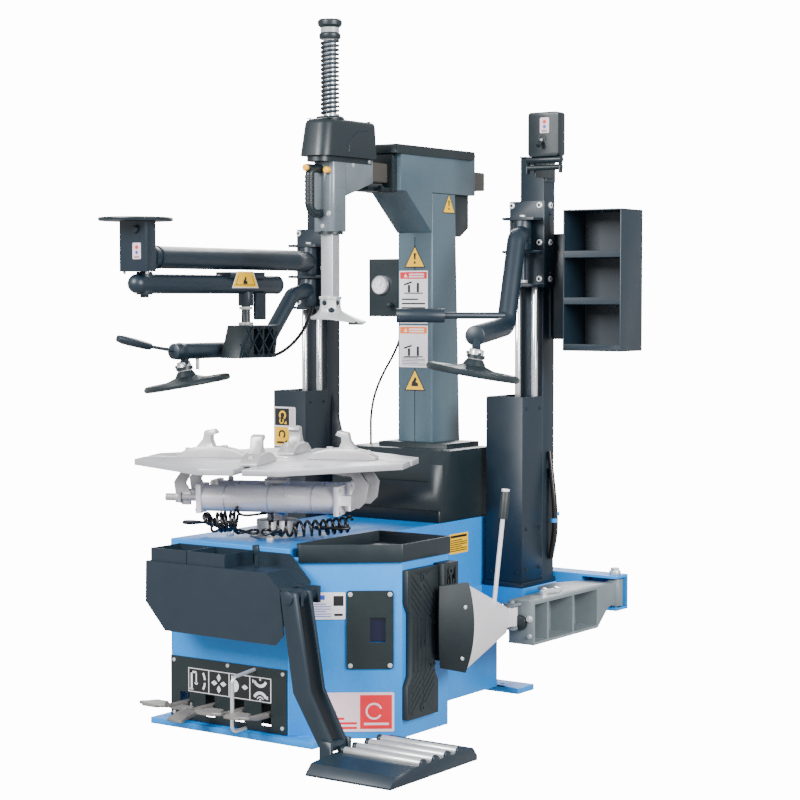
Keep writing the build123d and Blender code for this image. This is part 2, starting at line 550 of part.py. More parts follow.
# ---- mounting head on the sliding arm --------------------------------------------------
with BuildPart() as head_arm:
    block((-ARM_HALF, ARM_HALF), (ARM_Y0, ARM_Y1), (ARM_Z - ARM_HALF, ARM_Z + ARM_HALF))
    fillet(head_arm.edges().filter_by(Axis.Y), 4)
    inner_half = ARM_HALF - 5
    block((-inner_half, inner_half), (ARM_Y0 - 1, ARM_Y1 + 1),
          (ARM_Z - inner_half, ARM_Z + inner_half), mode=Mode.SUBTRACT)
write(head_arm, "head_arm")

with BuildPart() as guide_housing:
    block((-35, 35), (SHAFT_Y - 35, SHAFT_Y + 35), (1325, 1532))
    fillet(guide_housing.edges().filter_by(Axis.Z), 14)
    for side in (-1, 1):
        x0, x1 = sorted((side * (ARM_HALF + 0.2), side * (ARM_HALF + 6.2)))
        prism(Plane.YZ.offset(x0), ((268, 1425), (395, 1466), (395, 1530), (268, 1530)), 6)
    bore = SHAFT_HALF + SLIDE_GAP
    block((-bore, bore), (SHAFT_Y - bore, SHAFT_Y + bore), (1300, 1600), mode=Mode.SUBTRACT)
    bar((19, 213, 1494), (19, 200, 1494), 9.4, mode=Mode.SUBTRACT)
write(guide_housing, "guide_housing")

with BuildPart() as head_cover:
    block((-50, 50), (148, 400), (1533, COVER_TOP))
    block((-50, 50), (165, 400), (1516, 1534))
    fillet(head_cover.edges().filter_by(Axis.Z), 16)
    fillet(head_cover.faces().sort_by(Axis.Z)[-1].edges(), 5)
    block((-46, 46), (170, 396), (1500, COVER_TOP - 4), mode=Mode.SUBTRACT)
    with Locations((0, SHAFT_Y, COVER_TOP)):
        Cylinder(30, 30, mode=Mode.SUBTRACT)
    block((-36, 36), (390, 402), (1500, 1532), mode=Mode.SUBTRACT)
write(head_cover, "head_cover")

with BuildPart() as head_handle:
    pipe(((-8, 204.9, 1498), (-8, 156, 1498), (-8, 156, 1374), (-8, 204.9, 1374)),
         12, (26, 30))
    bar((-8, 162, 1498), (-8, 143, 1498), 11)
    bar((-8, 152, 1498), (-8, 142, 1498), 9.4, mode=Mode.SUBTRACT)
write(head_handle, "head_handle")

with BuildPart() as lock_button:
    bar((-8, 147, 1498), (-8, 134, 1498), 9)
    fillet(lock_button.faces().sort_by(Axis.Y)[0].edges(), 3)
write(lock_button, "lock_button")

with BuildPart() as tilt_button:
    bar((19, 209, 1494), (19, 192, 1494), 9)
    fillet(tilt_button.faces().sort_by(Axis.Y)[0].edges(), 3)
write(tilt_button, "tilt_button")

with BuildPart() as tool_shaft:
    block((-SHAFT_HALF, SHAFT_HALF), (SHAFT_Y - SHAFT_HALF, SHAFT_Y + SHAFT_HALF),
          (SHAFT_Z0, 1600))
    chamfer(tool_shaft.edges().filter_by(Axis.Z), 4)
    with Locations((0, SHAFT_Y, 1730)):
        Cylinder(18, 262)
    with Locations((0, SHAFT_Y, (CAP_Z0 + CAP_Z1) / 2)):
        Cylinder(26, CAP_Z1 - CAP_Z0)
    with Locations((0, SHAFT_Y, CAP_Z1 - 5)):
        Cylinder(30, 10)
write(tool_shaft, "tool_shaft")

with BuildPart() as shaft_spring:
    with Locations((0, SHAFT_Y, (COVER_TOP + CAP_Z0) / 2)):
        Cylinder(27.5, CAP_Z0 - COVER_TOP - 0.4)
        Cylinder(20.5, CAP_Z0, mode=Mode.SUBTRACT)
write(shaft_spring, "shaft_spring")

with BuildPart() as mount_head:
    block((-25, 25), (SHAFT_Y - 25, SHAFT_Y + 25), (1084, SHAFT_Z0 + 20))
    fillet(mount_head.edges().filter_by(Axis.Z), 6)
    with BuildSketch(Plane.XY.offset(1066)) as sole:
        with BuildLine():
            Polyline((-52, 214), (-20, 190), (30, 196), (60, 214), (108, 236), (112, 256),
                     (60, 258), (24, 280), (-34, 276), (-54, 250), close=True)
        make_face()
    extrude(sole.sketch, amount=19)
    hole = SHAFT_HALF + 0.2
    block((-hole, hole), (SHAFT_Y - hole, SHAFT_Y + hole), (SHAFT_Z0 - 0.2, 1160),
          mode=Mode.SUBTRACT)
write(mount_head, "mount_head")


# ---- carriages on the towers -------------------------------------------------------------
def carriage(corner_x, front_y, low):
    """U-shaped slide plates round the front of a post, with hinge ribs in front."""
    mid_x = corner_x - POST_W / 2
    face = front_y + POST_BACK - 28
    x0, x1 = mid_x - 59, mid_x + 59
    block((x0, x1), (face, face + 10), (low, low + CAR_H))
    for a, b in ((x0, mid_x - POST_W / 2 - 1), (mid_x + POST_W / 2 + 1, x1)):
        block((a, b), (face + 10, face + 58), (low, low + CAR_H))
    block((mid_x - 30, mid_x + 30), (face + 10, face + 26), (low + 20, low + CAR_H - 20))
    for z in (low + 2, low + 98, low + 194):
        block((x0 + 6, x1 - 6), (face - 52, face), (z, z + 8))
    with Locations(*[(x, face + 35, low + h) for h in (40, 215) for x in (x0 - 2, x1 + 2)]):
        Cylinder(6, 4, rotation=(0, 90, 0))
    return mid_x, face


def lift_rods(corner_x, front_y, low):
    """Two chromed rods that push a carriage up out of the tower's cover."""
    y = front_y + POST_BACK - 24
    for x in (corner_x - POST_W + 8, corner_x - 14):
        bar((x, y, TOWER_Z1 - 250), (x, y, low - 0.2), 9)


HINGE_BACK = 34              # from a carriage's face forward to its hinge pin
with BuildPart() as left_carriage:
    left_mid, left_face = carriage(LEFT_X, LEFT_Y, LEFT_CAR_Z)
LEFT_PIN = (LEFT_X - 26, left_face - HINGE_BACK)
with left_carriage:
    bar((*LEFT_PIN, LEFT_CAR_Z + 8), (*LEFT_PIN, LEFT_CAR_Z + 202), 10)
write(left_carriage, "left_carriage")
with BuildPart() as left_lift_rods:
    lift_rods(LEFT_X, LEFT_Y, LEFT_CAR_Z)
write(left_lift_rods, "left_lift_rods")

with BuildPart() as right_carriage:
    right_mid, right_face = carriage(RIGHT_X, RIGHT_Y, RIGHT_CAR_Z)
RIGHT_PIN = (RIGHT_X - 34, right_face - HINGE_BACK)
with right_carriage:
    bar((*RIGHT_PIN, RIGHT_CAR_Z + 8), (*RIGHT_PIN, RIGHT_CAR_Z + 202), 10)
write(right_carriage, "right_carriage")
with BuildPart() as right_lift_rods:
    lift_rods(RIGHT_X, RIGHT_Y, RIGHT_CAR_Z)
write(right_lift_rods, "right_lift_rods")

# ---- left assist arms ---------------------------------------------------------------------
UPPER_Z, LINK_Z, LOWER_Z = 1253, 1180, 990
ARM_X, LOW_X = -348, -410    # planes of the upper and the lower folded arms
LINK_PIVOT = (ARM_X, -140)
with BuildPart() as left_upper_arm:
    hub_z = (LEFT_CAR_Z + 108, LEFT_CAR_Z + 192)
    bar((*LEFT_PIN, hub_z[0]), (*LEFT_PIN, hub_z[1]), 26)
    pipe(((LEFT_PIN[0], LEFT_PIN[1] - 15, UPPER_Z), (ARM_X, 520, UPPER_Z),
          (ARM_X, -152, UPPER_Z)), 31, 40)
    bar((*LEFT_PIN, hub_z[0] - 1), (*LEFT_PIN, hub_z[1] + 1), 10 + RUN_FIT,
        mode=Mode.SUBTRACT)
    block((ARM_X - 49, ARM_X + 51), (-194, -150), (1213, 1350))
    fillet(left_upper_arm.edges().filter_by(Axis.Z).group_by(Axis.Y)[0], 14)
    bar((*LINK_PIVOT, 1253), (*LINK_PIVOT, 1142), 12)
    with Locations((ARM_X + 4, -178, 1354)):
        Cylinder(100, 9)
write(left_upper_arm, "left_upper_arm")

with BuildPart() as left_link:
    bar((ARM_X, -168, LINK_Z), (ARM_X, 434, LINK_Z), 27)
    with Locations((ARM_X, -168, LINK_Z)):
        Sphere(27)
    bar((*LINK_PIVOT, 1150), (*LINK_PIVOT, 1212.6), 22)
    bar((*LINK_PIVOT, 1140), (*LINK_PIVOT, 1216), 12 + RUN_FIT, mode=Mode.SUBTRACT)
    block((ARM_X - 30, ARM_X + 26), (195, 350), (1198, 1216))
    block((ARM_X + 8, ARM_X + 20), (318, 362), (1078, 1156))
    PRESS = (ARM_X, 293)
    bar((*PRESS, 1160), (*PRESS, 1118), 22)
    bar((*PRESS, 1115), (*PRESS, 1216), 13 + RUN_FIT, mode=Mode.SUBTRACT)
write(left_link, "left_link")

with BuildPart() as bead_press:
    bar((*PRESS, 1058), (*PRESS, 1210), 13)
    prism(Plane.YZ.offset(PRESS[0] - 18), ((232, 1062), (330, 1062), (384, 1062),
          (366, 968), (200, 968)), 68)
    for y, z, w, h in ((268, 978, 40, 74), (316, 978, 42, 74)):
        block((PRESS[0] + 10, PRESS[0] + 60), (y, y + w), (z, z + h), mode=Mode.SUBTRACT)
write(bead_press, "bead_press")

DISC_TILT = 10
VIEW_SIDE = Vector(cos(radians(35)), sin(radians(35)), 0)


def disc_plane(centre, lean):
    """A disc's plane, leaning by this many degrees along VIEW_SIDE."""
    tilt = VIEW_SIDE * sin(radians(lean)) + Vector(0, 0, 1) * cos(radians(lean))
    return Plane(origin=centre, x_dir=(sin(radians(35)), -cos(radians(35)), 0), z_dir=tilt)


def press_disc(plane):
    """Dished disc, turned about the plane's normal."""
    side = Plane(origin=plane.origin, x_dir=plane.x_dir, z_dir=plane.y_dir)
    with BuildSketch(side) as profile:
        with BuildLine():
            Polyline((12.1, 34), (22, 34), (30, 16), (112, 4), (124, 3), (125, -2),
                     (121, -8), (104, -5), (24, 4), (12.1, 4), close=True)
        make_face()
    revolve(profile.sketch, axis=Axis(plane.origin, plane.z_dir))


LEFT_DISC = disc_plane((LOW_X, 104, 899), -DISC_TILT)
with BuildPart() as left_lower_arm:
    bar((*LEFT_PIN, LEFT_CAR_Z + 12), (*LEFT_PIN, LEFT_CAR_Z + 94), 24)
    pipe(((LEFT_PIN[0] + 4, LEFT_PIN[1] - 12, 1166), (LOW_X, 590, 1150),
          (LOW_X, 448, LOWER_Z), (LOW_X, 50, LOWER_Z)), 23, (30, 50))
    bar((*LEFT_PIN, LEFT_CAR_Z + 6), (*LEFT_PIN, LEFT_CAR_Z + 100), 10 + RUN_FIT,
        mode=Mode.SUBTRACT)
    bar((LOW_X, 93, LOWER_Z - 5), (LOW_X, 96, 948), 12)
    ball = LEFT_DISC.origin + LEFT_DISC.z_dir * 50
    with Locations(ball):
        Sphere(17)
    bar(LEFT_DISC.origin + LEFT_DISC.z_dir * -2, ball, 12)
    bar((LOW_X, 68, LOWER_Z), (LOW_X - 8, -42, 1006), 5)
    bar((LOW_X - 8, -42, 1006), (LOW_X - 20, -158, 1030), 10)
write(left_lower_arm, "left_lower_arm")

with BuildPart() as left_disc:
    press_disc(LEFT_DISC)
write(left_disc, "left_disc")

# ---- right assist arm -----------------------------------------------------------------------
REACH = Vector(0.32, -0.947, 0).normalized()
PIN_R = Vector(*RIGHT_PIN, 0)


def reach(distance, height):
    """A point of the right arm: distance out from its hinge pin, and height."""
    spot = PIN_R + REACH * distance
    return (spot.X, spot.Y, height)


RIGHT_DISC = disc_plane(reach(582, 946), DISC_TILT)
with BuildPart() as right_arm:
    bar((*RIGHT_PIN, RIGHT_CAR_Z + 108), (*RIGHT_PIN, RIGHT_CAR_Z + 192), 26)
    pipe((reach(10, 1325), reach(72, 1312), reach(205, 1062), reach(560, 1042)),
         27, (30, 50))
    bar((*RIGHT_PIN, RIGHT_CAR_Z + 100), (*RIGHT_PIN, RIGHT_CAR_Z + 200), 10 + RUN_FIT,
        mode=Mode.SUBTRACT)
    ball = RIGHT_DISC.origin + RIGHT_DISC.z_dir * 50
    bar(reach(545, 1040), ball, 12)
    with Locations(ball):
        Sphere(17)
    bar(RIGHT_DISC.origin + RIGHT_DISC.z_dir * -2, ball, 12)
    grip_from = Vector(*reach(215, 1092))
    bar(grip_from, grip_from - VIEW_SIDE * 170, 9.5)
    bar(grip_from - VIEW_SIDE * 170, grip_from - VIEW_SIDE * 305, 20)
write(right_arm, "right_arm")

with BuildPart() as right_disc:
    press_disc(RIGHT_DISC)
write(right_disc, "right_disc")

# ---- bead breaker ------------------------------------------------------------------------------
ARM_LOW, ARM_HIGH = 190, 310
with BuildPart() as breaker_arm:
    prism(Plane.YZ.offset(458), ((447, ARM_LOW), (447, ARM_HIGH), (893, ARM_HIGH),
          (893, 246), (866, 240), (806, ARM_LOW)), 80)
    for y0, y1 in ((455, 520), (528, 660), (668, 800)):
        block((466, 540), (y0, y1), (ARM_LOW + 8, ARM_HIGH - 8), mode=Mode.SUBTRACT)
    with BuildSketch(Plane.XY.offset(ARM_HIGH - 8)) as top_plate:
        with BuildLine():
            Polyline((460, 560), (400, 700), (396, 800), (440, 884), (538, 884), (538, 560),
                     close=True)
        make_face()
        with Locations((392, 600)):
            Circle(92, mode=Mode.SUBTRACT)
    extrude(top_plate.sketch, amount=8)
    with Locations((BREAKER[0], BREAKER[1], 279)):
        Cylinder(23, 78)
    block((508, 538), (860, 925), (244, ARM_HIGH))
    for z0 in (232, 296):
        block((461, 497), (412, 450), (z0, z0 + 8))
    bar((479, 430, 232), (479, 430, 312), 8)
    with Locations((BREAKER[0], BREAKER[1], 279)):
        Cylinder(12 + RUN_FIT, 100, mode=Mode.SUBTRACT)
write(breaker_arm, "breaker_arm")

NECK = Vector(479, 402, 262)
BEND = Vector(532, 116, 284)         # where the blade turns in towards the pads
LEAD = Vector(472, 88, 284)          # middle of the leading edge
EDGE_THICK = 12


def blade_section(origin, side, height, bulge, thick, lean=0):
    """Curved upright slice of the blade; side is the way it bulges."""
    plane = Plane(origin=origin, x_dir=(side[0], side[1], 0), z_dir=(side[1], -side[0], 0))
    half = height / 2
    with BuildSketch(plane) as slice_face:
        with BuildLine():
            ThreePointArc((-lean, -half), (bulge, 0), (lean, half))
            Line((lean, half), (lean - thick, half))
            ThreePointArc((lean - thick, half), (bulge - thick, 0), (-lean - thick, -half))
            Line((-lean - thick, -half), (-lean, -half))
        make_face()
    return slice_face.sketch


with BuildPart() as shovel:
    loft(Sketch() + [blade_section(NECK, (0.983, 0.182), 70, 4, 10),
                     blade_section(BEND, (0.895, -0.446), 230, 32, 9, 8)], ruled=True)
    loft(Sketch() + [blade_section(BEND + Vector(0, 1, 0), (0.895, -0.446), 236, 34, EDGE_THICK, 8),
                     blade_section(LEAD, (0.5, -0.866), 216, 26, EDGE_THICK, 8)], ruled=True)
    bar((479, 430, 242), (479, 430, 294), 16)
    block((471, 487), (396, 424), (242, 294))
    bar((479, 430, 230), (479, 430, 310), 8 + RUN_FIT, mode=Mode.SUBTRACT)
    rod_foot = Vector(500, 300, 296)
    bar(rod_foot, rod_foot + Vector(2, 45, 254), 6)
    bar(rod_foot + Vector(2, 45, 254), rod_foot + Vector(3, 58, 330), 11)
write(shovel, "shovel")

# ---- wheel lift ----------------------------------------------------------------------------------
with BuildPart() as lift_arm:
    for y in (-347, -292):
        prism(Plane.XZ.offset(-y), ((LIFT_X - 24, LIFT_Z + 14), (LIFT_X + 24, LIFT_Z + 14),
              (LIFT_X + 66, 176), (449, 60), (449, 30), (421, 30), (LIFT_X + 16, 168)), 10)
    bar((LIFT_X, -361, LIFT_Z), (LIFT_X, -248, LIFT_Z), 17)
    bar((435, -350, 46), (435, -295, 46), 14)
write(lift_arm, "lift_arm")

ROLLERS_X = (FOOT_X0 + 14, FOOT_X1 - 6)
ROLLER_YS = (-322, -270, -218, -166)
with BuildPart() as foot_plate:
    prism(Plane.YZ.offset(FOOT_X0), ((FOOT_Y0, 0), (FOOT_Y0, 5), (FOOT_Y0 + 22, 27),
          (FOOT_Y0 + 96, 34), (FOOT_Y1 - 20, 34), (FOOT_Y1, 12), (FOOT_Y1, 0)),
          FOOT_X1 - FOOT_X0)
    for y in ROLLER_YS:
        block(ROLLERS_X, (y - 13, y + 13), (8, 60), mode=Mode.SUBTRACT)
    for y in (-367, -291.9):
        block((421, FOOT_X0 + 4), (y, y + 9.9), (2, 62))
    for y in ROLLER_YS:
        bar((FOOT_X0, y, 36), (FOOT_X1, y, 36), 5)
        bar((FOOT_X0 + 4, y, 36), (ROLLERS_X[0] - 0.5, y, 36), 11)
        bar((ROLLERS_X[1] + 0.4, y, 36), (FOOT_X1, y, 36), 11)
write(foot_plate, "foot_plate")

for number, y in enumerate(ROLLER_YS, start=1):
    with BuildPart() as roller:
        bar((ROLLERS_X[0] + 1, y, 36), (ROLLERS_X[1] - 1, y, 36), 10.5)
        bar((ROLLERS_X[0], y, 36), (ROLLERS_X[1], y, 36), 5 + RUN_FIT, mode=Mode.SUBTRACT)
    write(roller, f"lift_roller_{number}")

# ---- pedals ------------------------------------------------------------------------------------------
for number, x in enumerate(PEDAL_XS, start=1):
    with BuildPart() as pedal:
        low = 10 if number == 2 else 0
        block((x - 9, x + 9), (-252, -150), (56, 68))
        prism(Plane.YZ.offset(x - 9), ((-252, 56), (-252, 68), (-300, 76 - low),
              (-300, 66 - low)), 18)
        prism(Plane.YZ.offset(x - 24), ((-290, 66 - low), (-290, 78 - low), (-352, 84 - 3 * low),
              (-352, 76 - 3 * low)), 48)
    write(pedal, f"pedal_{number}")
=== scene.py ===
"""Tire changer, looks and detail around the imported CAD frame.
Machine coordinates are millimetres from the turntable's axis on the floor; at() turns
them into the row frame in metres."""
import math

import bmesh
import bpy
from mathutils import Matrix, Vector
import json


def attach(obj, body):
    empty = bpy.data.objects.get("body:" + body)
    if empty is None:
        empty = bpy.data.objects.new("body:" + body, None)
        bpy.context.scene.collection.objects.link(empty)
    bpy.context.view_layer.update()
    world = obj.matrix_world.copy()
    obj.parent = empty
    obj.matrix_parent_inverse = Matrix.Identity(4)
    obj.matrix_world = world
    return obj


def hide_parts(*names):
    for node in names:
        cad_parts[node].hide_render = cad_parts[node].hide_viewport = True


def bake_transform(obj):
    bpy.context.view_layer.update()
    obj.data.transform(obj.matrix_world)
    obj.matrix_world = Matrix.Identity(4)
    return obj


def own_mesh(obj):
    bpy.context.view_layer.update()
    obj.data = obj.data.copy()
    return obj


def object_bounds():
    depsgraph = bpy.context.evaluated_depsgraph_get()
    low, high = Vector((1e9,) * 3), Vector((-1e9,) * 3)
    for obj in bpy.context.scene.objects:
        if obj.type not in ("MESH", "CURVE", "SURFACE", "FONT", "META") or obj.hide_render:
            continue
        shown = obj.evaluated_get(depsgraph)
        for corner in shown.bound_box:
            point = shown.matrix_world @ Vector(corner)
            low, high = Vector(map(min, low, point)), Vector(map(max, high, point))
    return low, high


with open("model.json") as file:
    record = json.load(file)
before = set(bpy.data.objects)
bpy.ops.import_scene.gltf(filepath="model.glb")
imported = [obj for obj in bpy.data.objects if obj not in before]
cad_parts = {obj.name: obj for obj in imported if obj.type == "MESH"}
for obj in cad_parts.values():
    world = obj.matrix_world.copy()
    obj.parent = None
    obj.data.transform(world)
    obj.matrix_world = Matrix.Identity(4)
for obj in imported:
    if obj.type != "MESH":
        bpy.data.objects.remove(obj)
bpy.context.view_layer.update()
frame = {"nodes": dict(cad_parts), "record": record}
ORIGIN_Y = 193
NODES = frame["nodes"]


def at(p):
    """A point in machine millimetres as a point of the row frame in metres."""
    return Vector((p[0], p[1] + ORIGIN_Y, p[2])) / 1000


# ---- camera ----
LENS, SENSOR = 88.3, 36
CAMERA_AT = (3298, -4132, 1140)
PITCH, HEADING = 2.963, math.radians(35)      # PITCH in degrees below the horizon
camera_data = bpy.data.cameras.new("camera")
camera_data.lens = LENS
camera_data.sensor_width = SENSOR
camera_data.clip_end = 50
camera = bpy.data.objects.new("camera", camera_data)
bpy.context.scene.collection.objects.link(camera)
camera.location = at(CAMERA_AT)
camera.rotation_euler = (math.radians(90 - PITCH), 0, HEADING)
bpy.context.scene.camera = camera


# ---- materials ----
def new_material(name):
    mat = bpy.data.materials.new(name)
    mat.use_nodes = True
    return mat, mat.node_tree.nodes["Principled BSDF"]


def put(node, socket, value):
    node.inputs[socket].default_value = value


def noise(tree, scale, detail=4.0, rough=0.55, stretch=None):
    coords = tree.nodes.new("ShaderNodeTexCoord")
    tex = tree.nodes.new("ShaderNodeTexNoise")
    put(tex, "Scale", scale)
    put(tex, "Detail", detail)
    put(tex, "Roughness", rough)
    if stretch:
        mapping = tree.nodes.new("ShaderNodeMapping")
        put(mapping, "Scale", stretch)
        tree.links.new(coords.outputs["Object"], mapping.inputs["Vector"])
        tree.links.new(mapping.outputs["Vector"], tex.inputs["Vector"])
    else:
        tree.links.new(coords.outputs["Object"], tex.inputs["Vector"])
    return tex.outputs["Fac"]


def ramp(tree, value, low, high, at_low=0.35, at_high=0.65):
    node = tree.nodes.new("ShaderNodeValToRGB")
    node.color_ramp.elements[0].position = at_low
    node.color_ramp.elements[1].position = at_high
    node.color_ramp.elements[0].color = low
    node.color_ramp.elements[1].color = high
    tree.links.new(value, node.inputs["Fac"])
    return node.outputs["Color"]


def mix(tree, factor, a, b):
    node = tree.nodes.new("ShaderNodeMix")
    node.data_type = "RGBA"
    if isinstance(factor, float):
        put(node, "Factor", factor)
    else:
        tree.links.new(factor, node.inputs["Factor"])
    for value, socket in ((a, node.inputs[6]), (b, node.inputs[7])):
        if isinstance(value, (tuple, list)):
            socket.default_value = value
        else:
            tree.links.new(value, socket)
    return node.outputs[2]


def tint(colour, factor):
    return tuple(min(1.0, c * factor) for c in colour[:3]) + (1.0,)


def bump(tree, shader, height, strength, distance):
    node = tree.nodes.new("ShaderNodeBump")
    put(node, "Strength", strength)
    put(node, "Distance", distance)
    tree.links.new(height, node.inputs["Height"])
    tree.links.new(node.outputs["Normal"], shader.inputs["Normal"])


def worn_edges(tree, base, edge, amount):
    """Lighter paint along convex edges, broken up by noise."""
    geometry = tree.nodes.new("ShaderNodeNewGeometry")
    rim = ramp(tree, geometry.outputs["Pointiness"], (0, 0, 0, 1), (1, 1, 1, 1), 0.53, 0.60)
    broken = ramp(tree, noise(tree, 60), (0, 0, 0, 1), (amount, amount, amount, 1), 0.4, 0.7)
    both = tree.nodes.new("ShaderNodeMix")
    both.data_type = "RGBA"
    both.blend_type = "MULTIPLY"
    put(both, "Factor", 1.0)
    tree.links.new(rim, both.inputs[6])
    tree.links.new(broken, both.inputs[7])
    return mix(tree, both.outputs[2], base, edge)


MAT = {}


def paint(name, colour, rough=0.38, metal=0.0, grain=700.0, strength=0.12, vary=0.10,
          edge=None, wear=0.0, coat=0.0, stretch=None, sheen=0.03):
    """Painted, plated or moulded surface with mottling, wear and a fine texture."""
    mat, shader = new_material(name)
    tree = mat.node_tree
    colour = tuple(colour) + (1.0,)
    body = ramp(tree, noise(tree, 9.0, 6.0), tint(colour, 1 - vary), tint(colour, 1 + vary))
    specks = ramp(tree, noise(tree, 140.0, 3.0), tint(colour, 0.86), tint(colour, 1.10),
                  0.3, 0.7)
    body = mix(tree, 0.35, body, specks)
    if wear:
        body = worn_edges(tree, body, edge or tint(colour, 1.7), wear)
    tree.links.new(body, shader.inputs["Base Color"])
    put(shader, "Metallic", metal)
    low, high = max(0.04, rough - sheen), min(1.0, rough + sheen)
    tree.links.new(ramp(tree, noise(tree, 22.0, 5.0, 0.6, stretch), (low,) * 3 + (1,),
                        (high,) * 3 + (1,)), shader.inputs["Roughness"])
    put(shader, "Coat Weight", coat)
    put(shader, "Coat Roughness", 0.25)
    bump(tree, shader, noise(tree, grain, 3.0, 0.6, stretch), strength, 0.0004)
    MAT[name] = mat


paint("blue_paint", (0.0, 0.205, 0.62), 0.45, vary=0.05)
paint("charcoal_paint", (0.0048, 0.0140, 0.0240), 0.42, grain=420, strength=0.2, vary=0.05)
paint("column_paint", (0.058, 0.094, 0.120), 0.34, grain=420, strength=0.18, vary=0.04)
paint("arm_paint", (0.045, 0.042, 0.036), 0.42, grain=420, strength=0.2, vary=0.05)
paint("black_plastic", (0.0040, 0.0110, 0.0150), 0.40, grain=1100, strength=0.3, vary=0.05)
paint("black_panel", (0.0030, 0.0095, 0.0115), 0.45, grain=900, strength=0.1)
paint("guide_paint", (0.135, 0.165, 0.185), 0.30, 0.2, 420, 0.15, sheen=0.05)
paint("slate_paint", (0.135, 0.165, 0.178), 0.42, grain=420, strength=0.2)
paint("pad_rubber", (0.0050, 0.0105, 0.0135), 0.55, grain=900, strength=0.3, vary=0.05)
paint("air_hose", (0.003, 0.003, 0.004), 0.26, grain=1500, strength=0.05)
paint("zinc_steel", (0.62, 0.63, 0.64), 0.32, 0.6, 500, 0.15, sheen=0.06)
paint("white_metal", (0.86, 0.87, 0.88), 0.30, 0.3, 500, 0.1)
paint("plate_steel", (0.50, 0.505, 0.535), 0.34, 0.35, 300, 0.25, vary=0.07, sheen=0.07)
paint("clamp_steel", (0.40, 0.395, 0.410), 0.40, 0.3, 260, 0.4, wear=0.5,
      edge=(0.72, 0.72, 0.73, 1), vary=0.12, sheen=0.07)
paint("cylinder_aluminium", (0.86, 0.83, 0.87), 0.30, 0.25, 300, 0.12, vary=0.05)
paint("bright_steel", (0.80, 0.81, 0.84), 0.16, 0.85, 900, 0.04, vary=0.04)
paint("shaft_steel", (0.52, 0.54, 0.57), 0.30, 0.6, 500, 0.12, vary=0.06)
paint("cast_steel", (0.34, 0.35, 0.36), 0.42, 0.5, 240, 0.5, vary=0.12, sheen=0.07)
paint("pedal_steel", (0.21, 0.20, 0.19), 0.45, 0.4, 260, 0.4, vary=0.12, sheen=0.07)
paint("shovel_paint", (0.60, 0.58, 0.61), 0.40, grain=380, strength=0.2, vary=0.04)
paint("button_yellow", (0.90, 0.42, 0.004), 0.28, grain=900, strength=0.05, coat=0.3)
paint("yellow_label", (0.85, 0.48, 0.003), 0.42, vary=0.03)
paint("white_label", (0.70, 0.68, 0.72), 0.45, vary=0.03)
paint("black_print", (0.004, 0.005, 0.007), 0.45, vary=0.03)
paint("red_print", (0.60, 0.010, 0.025), 0.42, vary=0.04)
paint("orange_print", (0.80, 0.150, 0.015), 0.42, vary=0.04)
paint("pink_label", (0.66, 0.50, 0.56), 0.42, vary=0.04)
paint("blue_print", (0.02, 0.07, 0.50), 0.40, vary=0.04)
paint("grip_rubber", (0.008, 0.012, 0.014), 0.50, grain=1400, strength=0.4)
# near-black navy for the sheet inside the compartment window: painted shade of the dark opening
paint("navy_painted_shade", (0.002, 0.004, 0.022), 0.16, vary=0.02)

SLOT_OF = {row["node"]: row["material_slot"] for row in frame["record"]["subparts"]}
LOOK = {  # CAD nodes whose look differs from their slot's own
    "clamp_left": "clamp_steel", "clamp_right": "clamp_steel",
    "clamp_front": "clamp_steel", "clamp_back": "clamp_steel",
    "tool_shaft": "shaft_steel",
    "pedal_1": "pedal_steel", "pedal_2": "pedal_steel",
    "pedal_3": "pedal_steel", "pedal_4": "pedal_steel",
    "bead_pads": "pad_rubber", "drive_unit": "cast_steel",
    "front_panels": "black_panel", "breaker_arm": "slate_paint",
    "lift_valve_lever": "charcoal_paint", "guide_housing": "guide_paint",
}


SHARP_ANGLE = math.radians(38)


def dress(obj, material, bevel=0.0, segments=2, weld=False):
    """Give an object one material, smooth shading with crisp edges and a bevel."""
    obj.data.materials.clear()
    obj.data.materials.append(MAT[material])
    for face in obj.data.polygons:
        face.use_smooth = True
        face.material_index = 0
    if weld:
        obj.modifiers.new("weld", "WELD").merge_threshold = 1e-5
    if bevel:
        edge = obj.modifiers.new("edges", "BEVEL")
        edge.width = bevel
        edge.segments = segments
        edge.limit_method = "ANGLE"
        edge.angle_limit = SHARP_ANGLE
        edge.harden_normals = True
        edge.use_clamp_overlap = True
    else:
        obj.data.set_sharp_from_angle(angle=SHARP_ANGLE)


CAD_BEVEL = 0.0012
for node_name, node in NODES.items():
    plain = node_name in ("gauge_box", "front_panels", "lift_housing")
    dress(node, LOOK.get(node_name, SLOT_OF[node_name]), 0.0 if plain else CAD_BEVEL, 2,
          weld=not plain)


# ---- mesh helpers ----
def finish_piece(name, mesh, body, material, slot=None, bevel=0.0, replaces=(), segs=2,
                 blend=None):
    obj = bpy.data.objects.new(name, mesh)
    bpy.context.scene.collection.objects.link(obj)
    dress(obj, material, bevel / 1000, segs)
    if blend:
        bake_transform(obj)
    else:
        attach(obj, body)
    if replaces:
        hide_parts(*replaces)
    return obj


